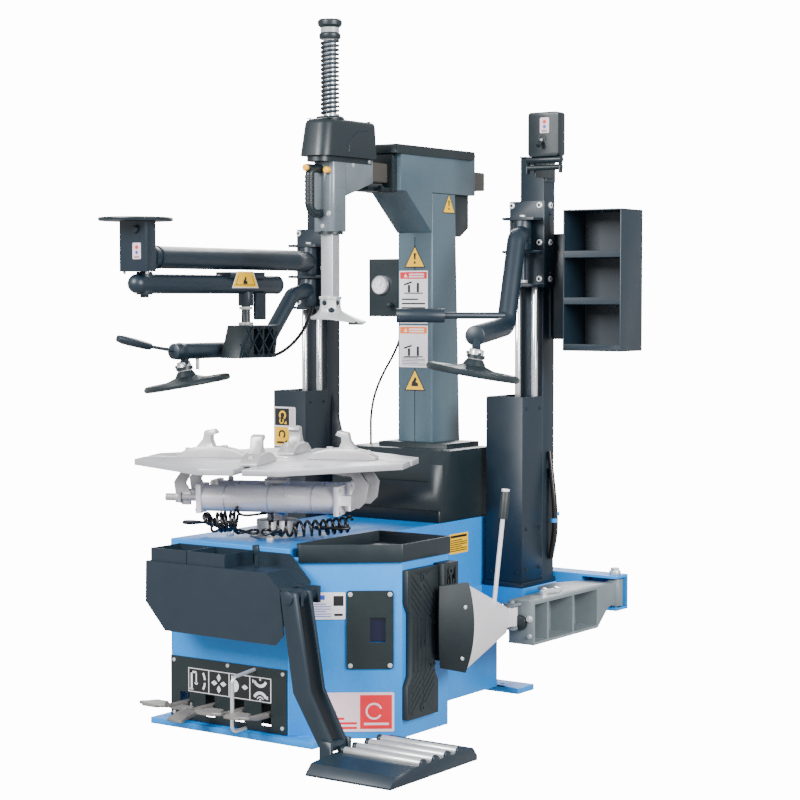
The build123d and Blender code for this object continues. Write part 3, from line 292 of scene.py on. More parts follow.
class Form:
    """Collects solids in machine millimetres and turns them into one piece."""

    def __init__(self):
        self.bm = bmesh.new()

    def points(self, coords):
        return [self.bm.verts.new(at(p)) for p in coords]

    def block(self, x, y, z, turn=0.0, pivot=None):
        """A box between (low, high) pairs, turned about Z round its pivot."""
        corners = [Vector((a, b, c)) for c in z for b in y for a in x]
        if turn:
            centre = Vector(pivot or ((x[0] + x[1]) / 2, (y[0] + y[1]) / 2, 0))
            spin = Matrix.Rotation(math.radians(turn), 3, "Z")
            corners = [spin @ (c - centre) + centre for c in corners]
        v = self.points(corners)
        for quad in ((0, 2, 3, 1), (4, 5, 7, 6), (0, 1, 5, 4), (1, 3, 7, 5), (3, 2, 6, 7),
                     (2, 0, 4, 6)):
            self.bm.faces.new([v[i] for i in quad])
        return self

    def prism(self, origin, u, v, outline, depth):
        """A polygon in the plane of u and v through origin, extruded along u x v."""
        origin, u, v = Vector(origin), Vector(u).normalized(), Vector(v).normalized()
        normal = u.cross(v)
        low = self.points([origin + u * a + v * b for a, b in outline])
        high = self.points([origin + u * a + v * b + normal * depth for a, b in outline])
        count = len(outline)
        self.bm.faces.new(list(reversed(low)))
        self.bm.faces.new(high)
        for i in range(count):
            j = (i + 1) % count
            self.bm.faces.new((low[i], low[j], high[j], high[i]))
        return self

    def lathe(self, origin, axis, profile, steps=48):
        """A closed profile of (radius, along) turned about an axis."""
        origin, axis = Vector(origin), Vector(axis).normalized()
        side = axis.orthogonal().normalized()
        other = axis.cross(side)
        rings = []
        for k in range(steps):
            a = 2 * math.pi * k / steps
            out = side * math.cos(a) + other * math.sin(a)
            rings.append(self.points([origin + out * r + axis * h for r, h in profile]))
        count = len(profile)
        for k in range(steps):
            near, far = rings[k], rings[(k + 1) % steps]
            for i in range(count - 1):
                quad = (near[i], far[i], far[i + 1], near[i + 1])
                self.bm.faces.new(quad)
        return self

    def rod(self, start, end, radius, steps=24, chamfer=0.8):
        """A round bar with small chamfers at both ends."""
        length = (Vector(end) - Vector(start)).length
        c = min(chamfer, radius * 0.4, length * 0.3)
        profile = ((0.01, 0), (radius - c, 0), (radius, c), (radius, length - c),
                   (radius - c, length), (0.01, length))
        return self.lathe(start, Vector(end) - Vector(start), profile, steps)

    def hexagon(self, start, end, radius):
        return self.lathe(start, Vector(end) - Vector(start),
                          ((0.01, 0), (radius, 0), (radius, (Vector(end) - Vector(start)).length),
                           (0.01, (Vector(end) - Vector(start)).length)), 6)

    def bolt(self, spot, axis, radius=5.0, height=4.0):
        """Socket-head screw: a washer, a round head and a hex recess."""
        spot, axis = Vector(spot), Vector(axis).normalized()
        self.lathe(spot, axis, ((0.01, 0), (radius * 1.5, 0), (radius * 1.5, 1.2),
                                (0.01, 1.2)), 24)
        profile = ((0.01, 1.2), (radius, 1.2), (radius, height - 0.6),
                   (radius - 0.6, height), (radius * 0.5, height),
                   (radius * 0.5, height * 0.5), (0.01, height * 0.5))
        return self.lathe(spot, axis, profile, 24)

    def piece(self, name, body, material, **options):
        bmesh.ops.remove_doubles(self.bm, verts=self.bm.verts, dist=1e-6)
        bmesh.ops.recalc_face_normals(self.bm, faces=self.bm.faces)
        mesh = bpy.data.meshes.new(name)
        self.bm.to_mesh(mesh)
        self.bm.free()
        return finish_piece(name, mesh, body, material, **options)


def lathe_piece(name, body, material, origin, axis, profile, steps=48, **options):
    """A piece that is a single turned profile."""
    return Form().lathe(origin, axis, profile, steps).piece(name, body, material, **options)


def tube(name, points, radius, body, material, smooth=True, **options):
    """A tube along a smooth line through its control points."""
    curve = bpy.data.curves.new(name, "CURVE")
    curve.dimensions = "3D"
    spline = curve.splines.new("NURBS" if smooth else "POLY")
    spline.points.add(len(points) - 1)
    for point, p in zip(spline.points, points):
        point.co = (*at(p), 1.0)
    if smooth:
        spline.order_u = 3
        spline.use_endpoint_u = True
        spline.resolution_u = 6
    curve.bevel_depth = radius / 1000
    curve.bevel_resolution = 5
    curve.use_fill_caps = True
    holder = bpy.data.objects.new(name + "_line", curve)
    bpy.context.scene.collection.objects.link(holder)
    bpy.context.view_layer.update()
    mesh = bpy.data.meshes.new_from_object(holder)
    bpy.data.objects.remove(holder)
    mesh.name = name
    return finish_piece(name, mesh, body, material, **options)


def helix(start, end, radius, turns, per_turn=14, lead=0.0):
    """Points of a coil about the line from start to end."""
    start, end = Vector(start), Vector(end)
    axis = (end - start).normalized()
    side = axis.orthogonal().normalized()
    other = axis.cross(side)
    total = int(turns * per_turn)
    points = []
    for k in range(total + 1):
        t = k / total
        a = 2 * math.pi * turns * t + lead
        points.append(start.lerp(end, t) + (side * math.cos(a) + other * math.sin(a)) * radius)
    return points


# ---- labels ----
def plate_outline(w, h, r=3.0, steps=4):
    """Rounded rectangle round (0, 0)."""
    points = []
    for cx, cy, start in ((w / 2 - r, h / 2 - r, 0), (r - w / 2, h / 2 - r, 90),
                          (r - w / 2, r - h / 2, 180), (w / 2 - r, r - h / 2, 270)):
        for k in range(steps + 1):
            a = math.radians(start + 90 * k / steps)
            points.append((cx + r * math.cos(a), cy + r * math.sin(a)))
    return points


PRINT_STEP, PRINT_THICK = 0.25, 0.3


class Label:
    """Flat printed shapes on a plane, each layer a little proud of the one below."""

    def __init__(self, name, body, origin, u, v=(0, 0, 1)):
        self.name, self.body, self.count = name, body, 0
        self.u, self.v = Vector(u).normalized(), Vector(v).normalized()
        self.origin = Vector(origin)

    def layer(self, shapes, material, level):
        form = Form()
        normal = self.u.cross(self.v)
        for outline in shapes:
            start = self.origin + normal * (PRINT_STEP * level)
            form.prism(start, self.u, self.v, outline, PRINT_THICK)
        self.count += 1
        form.piece(f"{self.name}_{self.count}", self.body, material)
        return self


def shift(outline, dx, dy, k=1.0):
    return [(x * k + dx, y * k + dy) for x, y in outline]


TRIANGLE = [(-0.5, -0.42), (0.5, -0.42), (0.0, 0.45)]
MARK = [[(-0.035, -0.10), (0.035, -0.10), (0.055, 0.16), (-0.055, 0.16)],
        [(-0.045, -0.26), (0.045, -0.26), (0.045, -0.17), (-0.045, -0.17)]]
HAND = [[(-0.17, -0.24), (0.17, -0.24), (0.15, -0.12), (0.04, -0.07), (0.10, 0.05),
         (0.0, 0.14), (-0.05, 0.02), (-0.14, -0.08)]]


def warning_triangle(name, body, origin, u, size, marks=MARK):
    label = Label(name, body, origin, u)
    label.layer([shift(TRIANGLE, 0, 0, size)], "black_print", 0)
    label.layer([shift(TRIANGLE, 0, -0.01 * size, size * 0.88)], "yellow_label", 1)
    label.layer([shift(m, 0, 0, size) for m in marks], "black_print", 2)


def bars(x0, x1, y0, y1, rows, fill=0.5, short=0.7):
    """Printed lines without lettering."""
    pitch = (y1 - y0) / rows
    out = []
    for k in range(rows):
        end = x1 if k % 3 != 2 else x0 + (x1 - x0) * short
        low = y0 + pitch * k
        out.append([(x0, low), (end, low), (end, low + pitch * fill),
                    (x0, low + pitch * fill)])
    return out


def rect(x0, x1, y0, y1):
    return [(x0, y0), (x1, y0), (x1, y1), (x0, y1)]


X_AXIS, Y_AXIS, Z_AXIS = Vector((1, 0, 0)), Vector((0, 1, 0)), Vector((0, 0, 1))
VIEW_SIDE = Vector((math.cos(HEADING), math.sin(HEADING), 0))
COLUMN_FRONT = 654.9
warning_triangle("column_triangle_top", "column", (0, COLUMN_FRONT, 1262), X_AXIS, 74)
warning_triangle("column_triangle_low", "column", (0, COLUMN_FRONT, 898), X_AXIS, 74, HAND)
warning_triangle("column_triangle_side", "column", (62.1, 742, 1420), Y_AXIS, 66)
for tag, low, high, head in (("danger", 1066, 1222, "red_print"),
                             ("caution", 936, 1060, "orange_print")):
    middle, half = (low + high) / 2, (high - low) / 2
    label = Label(f"column_{tag}", "column", (-5, COLUMN_FRONT, middle), X_AXIS)
    label.layer([plate_outline(102, 2 * half, 3)], "white_label", 0)
    label.layer([shift(rect(-48, 48, -10, 10), 0, half - 14)], head, 1)
    marks = [shift(TRIANGLE, -28, half - 14, 13)] + bars(-16, 38, half - 20, half - 6, 2, 0.6)
    label.layer(marks, "white_label", 2)
    person = [rect(-34, 34, -2, 1), rect(-20, -12, 2, 24), rect(12, 20, 2, 30),
              [(-34, 22), (-6, 30), (-6, 35), (-34, 27)]]
    label.layer([shift(p, 0, half - 66 if tag == "danger" else -30) for p in person]
                + bars(-42, 42, -half + 6, (4 if tag == "danger" else -30), 6, 0.34),
                "black_print", 1)


def ring_arc(cx, cy, r0, r1, a0, a1, steps=14):
    inner, outer = [], []
    for k in range(steps + 1):
        a = math.radians(a0 + (a1 - a0) * k / steps)
        outer.append((cx + r1 * math.cos(a), cy + r1 * math.sin(a)))
        inner.append((cx + r0 * math.cos(a), cy + r0 * math.sin(a)))
    return outer + inner[::-1]


def arrow(cx, cy, dx, dy, size):
    """Small triangle pointing along (dx, dy)."""
    return [(cx + dx * size, cy + dy * size), (cx - dy * size * 0.7, cy + dx * size * 0.7),
            (cx + dy * size * 0.7, cy - dx * size * 0.7)]


# pictogram strip over the pedals
label = Label("pedal_strip", "base", (4, -209.1, 127), X_AXIS)
label.layer([rect(-141, 141, -32, 32)], "white_label", 0)
label.layer([shift(rect(-33.4, 33.4, -30, 30), -105 + 70 * k, 0) for k in range(4)],
            "black_print", 1)
marks = [rect(-132, -126, -24, 24), rect(-132, -112, 19, 24), rect(-115, -111, -6, 22),
         rect(-136, -124, -26, -22), ring_arc(-122, 0, 36, 42, -34, -6),
         ring_arc(-122, 0, 36, 42, 6, 34), ring_arc(-113, -6, 3, 6, 180, 360, 6)]
for sx, sy in ((1, 0), (-1, 0), (0, 1), (0, -1)):
    marks.append(arrow(-35 + sx * 16, sy * 16, sx, sy, 10))
    marks.append(arrow(-35 + sx * 15, sy * 15, -sx, -sy, 10))
marks += [rect(8, 14, -26, 26), ring_arc(16, 0, 0.01, 17, -80, 80), arrow(54, 0, 1, 0, 10),
          arrow(53, 0, -1, 0, 10)]
marks += [ring_arc(105, 30, 17, 25, 205, 335), ring_arc(105, -30, 17, 25, 25, 155),
          ring_arc(105, -30, 9, 12, 25, 155), ring_arc(105, 26, 0.01, 3, 0, 359, 8),
          ring_arc(105, -27, 0.01, 3, 0, 359, 8), arrow(84, 18, -0.6, 0.8, 8),
          arrow(126, -18, 0.6, -0.8, 8)]
label.layer(marks, "white_label", 2)
# a black sheet inside the cabinet behind the pedal slots: painted shade seen through them
form = Form()
form.block((-198, 195), (-140, -138), (20, 130))
form.piece("pedal_slot_shade_sheet", "base", "black_plastic")

# stickers on the cabinet and the compartment
label = Label("cabinet_sticker", "base", (202.1, 585, 434), Y_AXIS)
label.layer([plate_outline(98, 58, 3)], "yellow_label", 0)
label.layer(bars(-42, 42, -22, 14, 6, 0.45), "black_print", 1)
label.layer([rect(-42, 42, 17, 24)], "black_print", 1)
CHAMFER_U = Vector((230, 174, 0)).normalized()
CHAMFER_N = CHAMFER_U.cross(Z_AXIS)


def on_chamfer(along, z, proud=0.3):
    return Vector((204, -206, z)) + CHAMFER_U * along + CHAMFER_N * proud


# a navy sheet 6 mm inside the window opening stands in as painted shade of the compartment's dark
# inside
label = Label("window_shade_sheet", "base", on_chamfer(226, 291, -6.0), CHAMFER_U)
label.layer([rect(-23, 23, -35, 35)], "navy_painted_shade", 0)
label = Label("compartment_notice", "base", on_chamfer(100, 353), CHAMFER_U)
label.layer([plate_outline(86, 70, 3)], "white_label", 0)
label.layer(bars(-38, 6, -28, 10, 6, 0.3) + [rect(-38, -10, 16, 28)], "blue_print", 1)
label.layer([rect(12, 38, 0, 26), rect(14, 36, -26, -20)], "black_print", 1)
label = Label("compartment_warning", "base", on_chamfer(162, 78), CHAMFER_U)
label.layer([plate_outline(212, 102, 4)], "pink_label", 0)
label.layer([rect(18, 100, -44, 44)], "red_print", 1)
label.layer([shift(TRIANGLE, -66, 18, 46)], "black_print", 1)
label.layer([shift(TRIANGLE, -66, 17, 38)], "yellow_label", 2)
label.layer([shift(m, -66, 18, 44) for m in MARK], "black_print", 3)
label.layer(bars(-98, 10, -44, -8, 3, 0.5), "red_print", 1)
label.layer([ring_arc(54, 2, 17, 22, 20, 330), rect(28, 92, -34, -28)], "pink_label", 2)


def control_sticker(name, body, origin, u):
    """Small white plate with a red and a blue dot."""
    label = Label(name, body, origin, u)
    label.layer([plate_outline(30, 44, 3)], "pink_label", 0)
    label.layer([ring_arc(0, 10, 0.01, 5.5, 0, 360, 20)], "red_print", 1)
    label.layer([ring_arc(0, -4, 0.01, 5.0, 0, 360, 20)], "blue_print", 1)
    label.layer(bars(-9, 9, -19, -12, 2, 0.5), "black_print", 1)


control_sticker("right_sticker", "base", (403, 721.8, 1634), X_AXIS)

# ---- gauge ----
DIAL = Vector((-122, 648, 1180))
FRONT = Vector((0, -1, 0))
lathe_piece("gauge_bezel", "column", "bright_steel", DIAL, FRONT, ((25.5, -6), (28.5, -6),
            (29, 0), (27.5, 4.4), (24.5, 4.8), (23.6, 3.2), (23.6, 0.2), (25.5, -6)), 64,
            slot="bright_steel")
lathe_piece("gauge_face", "column", "white_label", DIAL, FRONT, ((0.01, 0.1), (24.2, 0.1),
            (24.2, 1.2), (0.01, 1.2)), 64, slot="black_plastic")
label = Label("gauge_marks", "column", DIAL + FRONT * 1.3, X_AXIS)
ticks = []
for k in range(28):
    a = math.radians(225 - 10 * k)
    r0, w = (15.5, 0.5) if k % 5 == 0 else (18, 0.25)
    c, s = math.cos(a), math.sin(a)
    ticks.append([(c * r0 - s * w, s * r0 + c * w), (c * r0 + s * w, s * r0 - c * w),
                  (c * 21 + s * w, s * 21 - c * w), (c * 21 - s * w, s * 21 + c * w)])
label.layer(ticks + [[(-1, -5), (1, -5), (9.6, 13.2), (8.8, 13.6)]], "black_print", 0)
lathe_piece("regulator_knob", "column", "black_plastic", (-84, 638, 1122), FRONT, ((0.01, 0),
            (9, 0), (9.5, 2), (9.5, 12), (8, 14), (0.01, 14)), 24)

# ---- shaft spring and gauge hose ----
spring = tube("shaft_coil", helix((0, 240, 1647.8), (0, 240, 1851), 23.2, 17, 22), 3.6, "head",
              "charcoal_paint", replaces=("shaft_spring",), slot="bright_steel")
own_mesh(spring)
HOSE_LINE = ((-66, 690, 1085.5), (-72, 688, 1030), (-92, 680, 975), (-126, 668, 915),
             (-150, 656, 850), (-158, 650, 785), (-156, 648, 740), (-156, 648, 703.2))
tube("gauge_line", HOSE_LINE, 3.6, "column", "air_hose", replaces=("gauge_hose",),
     slot="pad_rubber", blend=("base", "column", (-156, 648, 715), (-72, 688, 1060)))

# ---- turntable: coil hoses, cylinder details, clamp details ----
TURN = math.radians(22.9)
RADIAL = Vector((math.cos(TURN), math.sin(TURN), 0))
ACROSS = Vector((-math.sin(TURN), math.cos(TURN), 0))


def on_table(along, side, z):
    return RADIAL * along + ACROSS * side + Vector((0, 0, z))


COIL_RUNS = (((60, -112, 536), (120, -84, 534), (176, -20, 536), (214, 44, 542)),
             ((-196, -64, 546), (-150, -104, 538), (-96, -128, 540)))


def coil(name, points, radius, pitch, thick, **options):
    """A spiral hose whose coils follow a line of points."""
    path = []
    for a, b in zip(points, points[1:]):
        turns = max(1, round((Vector(b) - Vector(a)).length / pitch))
        path += helix(a, b, radius, turns, 16)
    return tube(name, path, thick, "turntable", "air_hose", **options)


coil("coil_hose_1", COIL_RUNS[0], 19, 21, 3.9, replaces=("spiral_hoses",))
coil("coil_hose_2", COIL_RUNS[1], 10, 24, 3.6)
coil("coil_hose_3", ((-60, -176, 548), (-34, -160, 552), (-18, -148, 550)), 25, 11, 3.9)
for number, (cx, cy, cz, a, b, tilt) in enumerate((
        (-150, -118, 536, 62, 16, 4), (-64, -158, 530, 26, 24, -8), (196, -14, 534, 46, 12, 3),
        (-8, -118, 520, 30, 16, 5), (84, -128, 526, 26, 14, -6)), start=1):
    ring = []
    for k in range(25):
        t = 2 * math.pi * k / 24 * 0.97
        spot = VIEW_SIDE * (a * math.cos(t)) + Vector((-VIEW_SIDE.y, VIEW_SIDE.x, 0)) * (
            b * math.sin(t))
        ring.append(Vector((cx, cy, cz)) + spot + Z_AXIS * (tilt * math.sin(2 * t) + 3 * k / 24))
    tube(f"hose_loop_{number}", ring, 3.6, "turntable", "air_hose")
tube("coil_hose_4", [(-32, -150, 566), (-30, -126, 592), (-46, -118, 578), (-40, -104, 560),
                     (-16, -60, 562), (12, -30, 568)], 3.6, "turntable", "air_hose")
tube("coil_hose_5", [(60, -96, 552), (40, -70, 564), (10, -40, 566), (0, -30, 570)], 3.6,
     "turntable", "air_hose")
form = Form()
for x, y in ((-30, -8), (26, -18)):
    form.hexagon((x * 0.9, y * 0.9, 566), (x * 1.5, y * 1.5, 566), 7)
form.piece("hose_unions", "turntable", "blue_paint", slot="zinc_steel")

form = Form()
for side in (-66, 66):
    for end in (-196, 182):
        for a in (-1, 1):
            for b in (-1, 1):
                spot = on_table(end if end < 0 else end + 14, side + a * 30, 606 + b * 30)
                form.bolt(spot, RADIAL * (-1 if end < 0 else 1), 3.6, 4.5)
    for along in (-120, 0, 120):
        form.lathe(on_table(along - 2, side, 606), RADIAL, ((36, 0), (36.6, 0), (36.6, 4),
                                                            (36, 4)), 48)
form.piece("cylinder_screws", "clamp_right", "zinc_steel")
form = Form()
for side in (-66, 66):
    fitting = on_table(-150, side, 642)
    form.hexagon(fitting, fitting + Z_AXIS * 8, 8).rod(fitting + Z_AXIS * 8,
                                                      fitting + Z_AXIS * 14, 6)
form.piece("cylinder_fittings", "clamp_right", "zinc_steel")
form = Form()
for side in (-66, 66):
    form.lathe(on_table(-246, side, 606), -RADIAL, ((10.2, 0), (16, 0), (17, 2), (17, 9),
                                                    (10.2, 9)), 6)
    form.rod(on_table(-288, side, 606), on_table(-292, side, 606), 10)
form.piece("rod_nuts", "clamp_left", "zinc_steel")

for tag, angle in (("right", 0), ("back", 90), ("left", 180), ("front", 270)):
    spin = Matrix.Rotation(math.radians(angle), 3, "Z")

    def clamp_at(r, side, z):
        return spin @ on_table(r, side, z)

    form = Form()
    for r, z in ((102, 718), (252, 727)):
        form.bolt(clamp_at(r, 0, z), Z_AXIS, 6.5, 8)
    form.hexagon(clamp_at(147, 0, 735), clamp_at(147, 0, 743), 9)
    form.piece(f"clamp_{tag}_bolts", f"clamp_{tag}", "zinc_steel")
    form = Form()
    for k in range(5):
        r = 174.5 + 5 * k
        low_corner = clamp_at(r, -16, 784.4 - (r - 172) / 7)
        form.prism(low_corner, spin @ ACROSS, Z_AXIS, rect(1, 31, 0, 2.4), 2.4)
    form.piece(f"clamp_{tag}_teeth", f"clamp_{tag}", "clamp_steel", slot="plate_steel")

# hub bolts' washers and the spindle's boss
form = Form()
form.lathe((0, 0, 700.2 + 9.9), Z_AXIS, ((0.01, 0), (30, 0), (30, 1.5), (26, 4), (10, 5),
                                         (0.01, 5)), 48)
form.lathe((0, 0, 640), Z_AXIS, ((28.2, 0), (33, 0), (35, 3), (35, 12), (33, 15),
                                 (28.2, 15)), 48)
form.piece("spindle_boss", "turntable", "zinc_steel", slot="plate_steel")

# ---- shaft cap, mount head, head cover ----
lathe_piece("shaft_cap", "tool_shaft", "black_plastic", (0, 240, 1855.5), Z_AXIS, ((18.5, 0),
            (27, 0), (30, 4), (30, 14), (24, 20), (24, 30), (33, 38), (34, 44), (34, 50),
            (30, 54), (0.01, 54.4)), 56, bevel=0.6)
form = Form()
form.bolt((22, 205, 1374), -Y_AXIS, 5.5, 5).bolt((0, 205, 1340), -Y_AXIS, 4, 4)
for x, side in ((34.3, X_AXIS), (-34.3, -X_AXIS)):
    form.bolt((x, 300, 1512), side, 4.5, 4).bolt((x, 372, 1524), side, 5, 6)
form.piece("guide_bolts", "head", "zinc_steel")
form = Form()
form.prism((-20.2, 219, 1330), Y_AXIS, Z_AXIS, rect(0, 42, -3.5, 0), -4)
form.lathe((0, 240, 1318), Z_AXIS, ((29, 0), (36, 0), (36, 9), (29, 9)), 40)
form.piece("guide_wiper", "head", "black_plastic")
form = Form()
form.lathe((0, 240, 1635.1), Z_AXIS, ((24, 0), (40, 0), (40, 3), (36, 8), (30, 9), (24, 9)),
           48)
for x in (-38, 38):
    for y in (190, 376):
        form.lathe((x * 0.9, y, 1635), Z_AXIS,
                   ((0.01, 0), (6, 0), (6, 1.4), (4.6, 2.4), (0.01, 2.4)), 24)
form.piece("cover_collar", "head", "black_plastic", bevel=0.4)


def ring(outline, count):
    """Even-angled distances of a closed outline from its centre."""
    out = []
    for k in range(count):
        turn = 2 * math.pi * k / count
        c, d = math.cos(turn), math.sin(turn)
        best = 0.0
        for (x0, y0), (x1, y1) in zip(outline, outline[1:] + outline[:1]):
            across = c * (y1 - y0) - d * (x1 - x0)
            if abs(across) > 1e-9:
                far = (x0 * (y1 - y0) - y0 * (x1 - x0)) / across
                along = (x0 * d - y0 * c) / across
                if far > best and -1e-6 <= along <= 1 + 1e-6:
                    best = far
        out.append((best * c, best * d))
    return out


def skin_rings(form, rings):
    """Close a solid through rings of points, capped at both ends."""
    rows = [form.points(row) for row in rings]
    count = len(rows[0])
    for low, high in zip(rows, rows[1:]):
        for i in range(count):
            j = (i + 1) % count
            form.bm.faces.new((low[i], low[j], high[j], high[i]))
    form.bm.faces.new(rows[0][::-1])
    form.bm.faces.new(rows[-1])


def rounded(x0, x1, y0, y1, front, back):
    """Outline of a plan rectangle with its own corner radii at front and back."""
    out = []
    for cx, cy, r, first in ((x1 - back, y1 - back, back, 0), (x0 + back, y1 - back, back, 90),
                             (x0 + front, y0 + front, front, 180),
                             (x1 - front, y0 + front, front, 270)):
        for k in range(7):
            a = math.radians(first + 15 * k)
            out.append((cx + r * math.cos(a), cy + r * math.sin(a)))
    return out


form = Form()
rings = []
for z, inset, drop in ((1517, 14, 8), (1531, 14, 8), (1532, 0, 0), (1620, 4, 15), (1629, 6, 19),
                       (1634, 11, 26)):
    plan = rounded(-50 + inset, 50 - inset, 148 + drop + inset * 0.2, 399.8 - inset * 0.4,
                   34, 12)
    rings.append([(x, y, z) for x, y in plan])
skin_rings(form, rings)
form.piece("head_hood", "head", "black_plastic", replaces=("head_cover",))
form = Form()
curve = [(262 + 90 * (1 - math.cos(math.radians(9 * k))), 1545 + 66 * math.sin(
         math.radians(9 * k))) for k in range(11)]
for (y0, z0), (y1, z1) in zip(curve, curve[1:]):
    form.rod((48.4 - 0.02 * (z0 - 1532), y0, z0), (48.4 - 0.02 * (z1 - 1532), y1, z1), 2.4)
form.piece("hood_seam", "head", "charcoal_paint")
for k in range(7):
    form = Form()
    z = 1398 + 12 * k
    form.lathe((-8, 156, z), Z_AXIS, ((11.9, 0), (13.2, 1.2), (13.2, 6.8), (11.9, 8)), 32)
    form.piece(f"handle_ring_{k + 1}", "head", "grip_rubber")
form = Form()
octagon = [(28 * math.cos(math.radians(22.5 + 45 * k)) / math.cos(math.radians(22.5)),
            28 * math.sin(math.radians(22.5 + 45 * k)) / math.cos(math.radians(22.5)))
           for k in range(8)]
neck = ring(octagon, 96)
sole = ring([(-54, -22), (-40, -36), (-14, -46), (22, -42), (60, -26), (104, -6), (116, 6),
             (112, 17), (60, 20), (26, 36), (-30, 34), (-56, 8)], 96)
rings = [[(x * k, 240 + y * k, z) for x, y in neck]
         for k, z in ((1.0, 1146), (1.08, 1145), (1.08, 1139), (0.98, 1137), (0.98, 1121))]
for step in range(1, 13):
    t = step / 12
    grow = t ** 2.6
    rings.append([(a + (c - a) * grow, 240 + b + (d - b) * grow,
                   1121 - 33 * t - 11 * t * max(0.0, min(1.0, (a + (c - a) * grow - 26) / 84)))
                  for (a, b), (c, d) in zip(neck, sole)])
for k, fall in ((0.995, 3), (0.97, 6), (0.90, 7)):
    rings.append([(c * k, 240 + d * k, 1088 - fall - 11 * max(0.0, min(1.0, (c - 26) / 84)))
                  for c, d in sole])
skin_rings(form, rings)
form.piece("duck_head", "tool_shaft", "zinc_steel", slot="cast_steel",
           replaces=("mount_head",))
form = Form()
form.prism((86, 240, 1067), X_AXIS, Y_AXIS, [(-16, -12), (10, -10), (22, 2), (20, 12),
                                             (-14, 13)], 11)
form.piece("duck_insert", "tool_shaft", "black_plastic", slot="cast_steel", bevel=1.2)
form = Form()
form.bolt((0, 212.6, 1128), -Y_AXIS, 5, 5).bolt((26.5, 236, 1128), X_AXIS, 4.5, 4)
form.bolt((20, 218, 1108), Vector((0.6, -0.6, 0.5)).normalized(), 6, 5)
form.piece("mount_head_bolts", "tool_shaft", "charcoal_paint", slot="zinc_steel")

# ---- pressing discs, their joints and the bead press ----
def press_disc(tag, centre, lean, arm_body):
    """Dished disc with a rounded rim, its bottom nut and the sleeve of its ball joint."""
    centre = Vector(centre)
    up = VIEW_SIDE * math.sin(math.radians(lean)) + Z_AXIS * math.cos(math.radians(lean))
    lathe_piece(f"{tag}_disc_dish", f"{tag}_disc", "black_plastic", centre, up, ((12.3, 34),
                (22, 34), (24, 31), (31, 19), (52, 12), (86, 5.5), (102, 4), (108, 7),
                (115, 8.5), (121, 6.5), (125, 0), (124, -6), (119, -9.5), (111, -9.5),
                (105, -6), (98, -3), (24, 4), (12.3, 4), (12.3, 34)), 96,
                replaces=(f"{tag}_disc",))
    form = Form()
    form.lathe(centre, up, ((14, 34.5), (20.5, 34.5), (21.5, 36), (21.5, 47), (20, 49),
                            (20, 60), (17.3, 62), (17.3, 36), (14, 34.5)), 48)
    form.lathe(centre, up, ((0.01, -2), (9, -2), (9, -8), (0.01, -8)), 6)
    form.piece(f"{tag}_disc_sleeve", arm_body, "zinc_steel")
    form = Form()
    form.lathe(centre, up, ((21.6, 38), (24.5, 38), (24.5, 47), (21.6, 47)), 48)
    for turn in range(3):
        spin = Matrix.Rotation(math.radians(120 * turn + 40), 3, up)
        out = spin @ up.orthogonal().normalized()
        form.rod(centre + up * 50 + out * 16, centre + up * 50 + out * 27, 4)
    form.piece(f"{tag}_disc_collar", arm_body, "black_plastic")


press_disc("left", (-410, 104, 899), -10, "left_lower_arm")
REACH = Vector((0.32, -0.947, 0)).normalized()


def reach(distance, height):
    return Vector((310, 755, height)) + REACH * distance


press_disc("right", reach(582, 946), 10, "right_arm")
form = Form()
for where, axis, size in (((-410, 50, 990), -Y_AXIS, 21.5), (reach(560, 1042), REACH, 25.5)):
    side = "left_lower_arm" if size < 22 else "right_arm"
    cap = Form()
    cap.lathe(where, axis, ((0.01, -1), (size, -1), (size + 1, 0), (size + 1, 2.5),
                            (size - 1, 4), (0.01, 4)), 48)
    cap.piece(f"{side}_cap", side, "charcoal_paint")
form.rod((-410, 150, 967), (-410, 150, 936), 5.5)
form.piece("left_arm_stop", "left_lower_arm", "zinc_steel")
lathe_piece("left_arm_band", "left_lower_arm", "charcoal_paint", (-410, 50, 990),
            Vector((0, 1, 0)), ((23.1, 18), (24.6, 18), (24.6, 32), (23.1, 32)), 48)
tube("left_arm_hose", [(-396, 672, 1112), (-388, 640, 1066), (-384, 575, 1010),
                       (-388, 500, 972), (-398, 440, 966), (-404, 410, 972)], 5,
     "left_lower_arm", "air_hose",
     blend=("left_carriage", "left_lower_arm", (-396, 672, 1112), (-404, 410, 972)))
lathe_piece("left_lever_grip", "left_lower_arm", "grip_rubber", (-422, -46, 1007),
            Vector((-12, -116, 24)), ((10, 0), (11, 2), (11.6, 20), (12.4, 60), (12, 96),
            (9, 110), (0.01, 112)), 32, slot="black_plastic")

# bead press: lattice cheek and rings
form = Form()
CHEEK = -298.0
for a, b in (((206, 972), (262, 1058)), ((236, 972), (300, 1058)), ((280, 972), (350, 1058)),
             ((326, 972), (376, 1044)), ((206, 1010), (240, 972)), ((232, 1056), (296, 972)),
             ((278, 1058), (344, 972)), ((328, 1058), (368, 1004))):
    run = Vector((0, b[0] - a[0], b[1] - a[1]))
    side = run.cross(X_AXIS).normalized() * 1.6
    p, q = Vector((0, *a)), Vector((0, *b))
    corners = [p - side, q - side, q + side, p + side]
    form.prism((CHEEK - 1, 0, 0), Y_AXIS, Z_AXIS, [(c.y, c.z) for c in corners], 4.2)
form.prism((CHEEK - 1, 0, 0), Y_AXIS, Z_AXIS, [(200, 968), (366, 968), (366, 973), (202, 973)],
           4.2)
form.prism((CHEEK - 1, 0, 0), Y_AXIS, Z_AXIS, [(231, 1057), (384, 1057), (384, 1062),
                                               (232, 1062)], 4.2)
form.piece("bead_press_ribs", "bead_press", "charcoal_paint", slot="black_plastic")
form = Form()
form.lathe((-348, 293, 1062), Z_AXIS, ((13.1, 0), (21, 0), (22, 2), (22, 9), (13.1, 9)), 40)
form.lathe((-348, 293, 1108), Z_AXIS, ((13.1, 0), (19, 0), (20, 2), (20, 8), (13.1, 8)), 40)
form.piece("bead_press_rings", "bead_press", "zinc_steel")

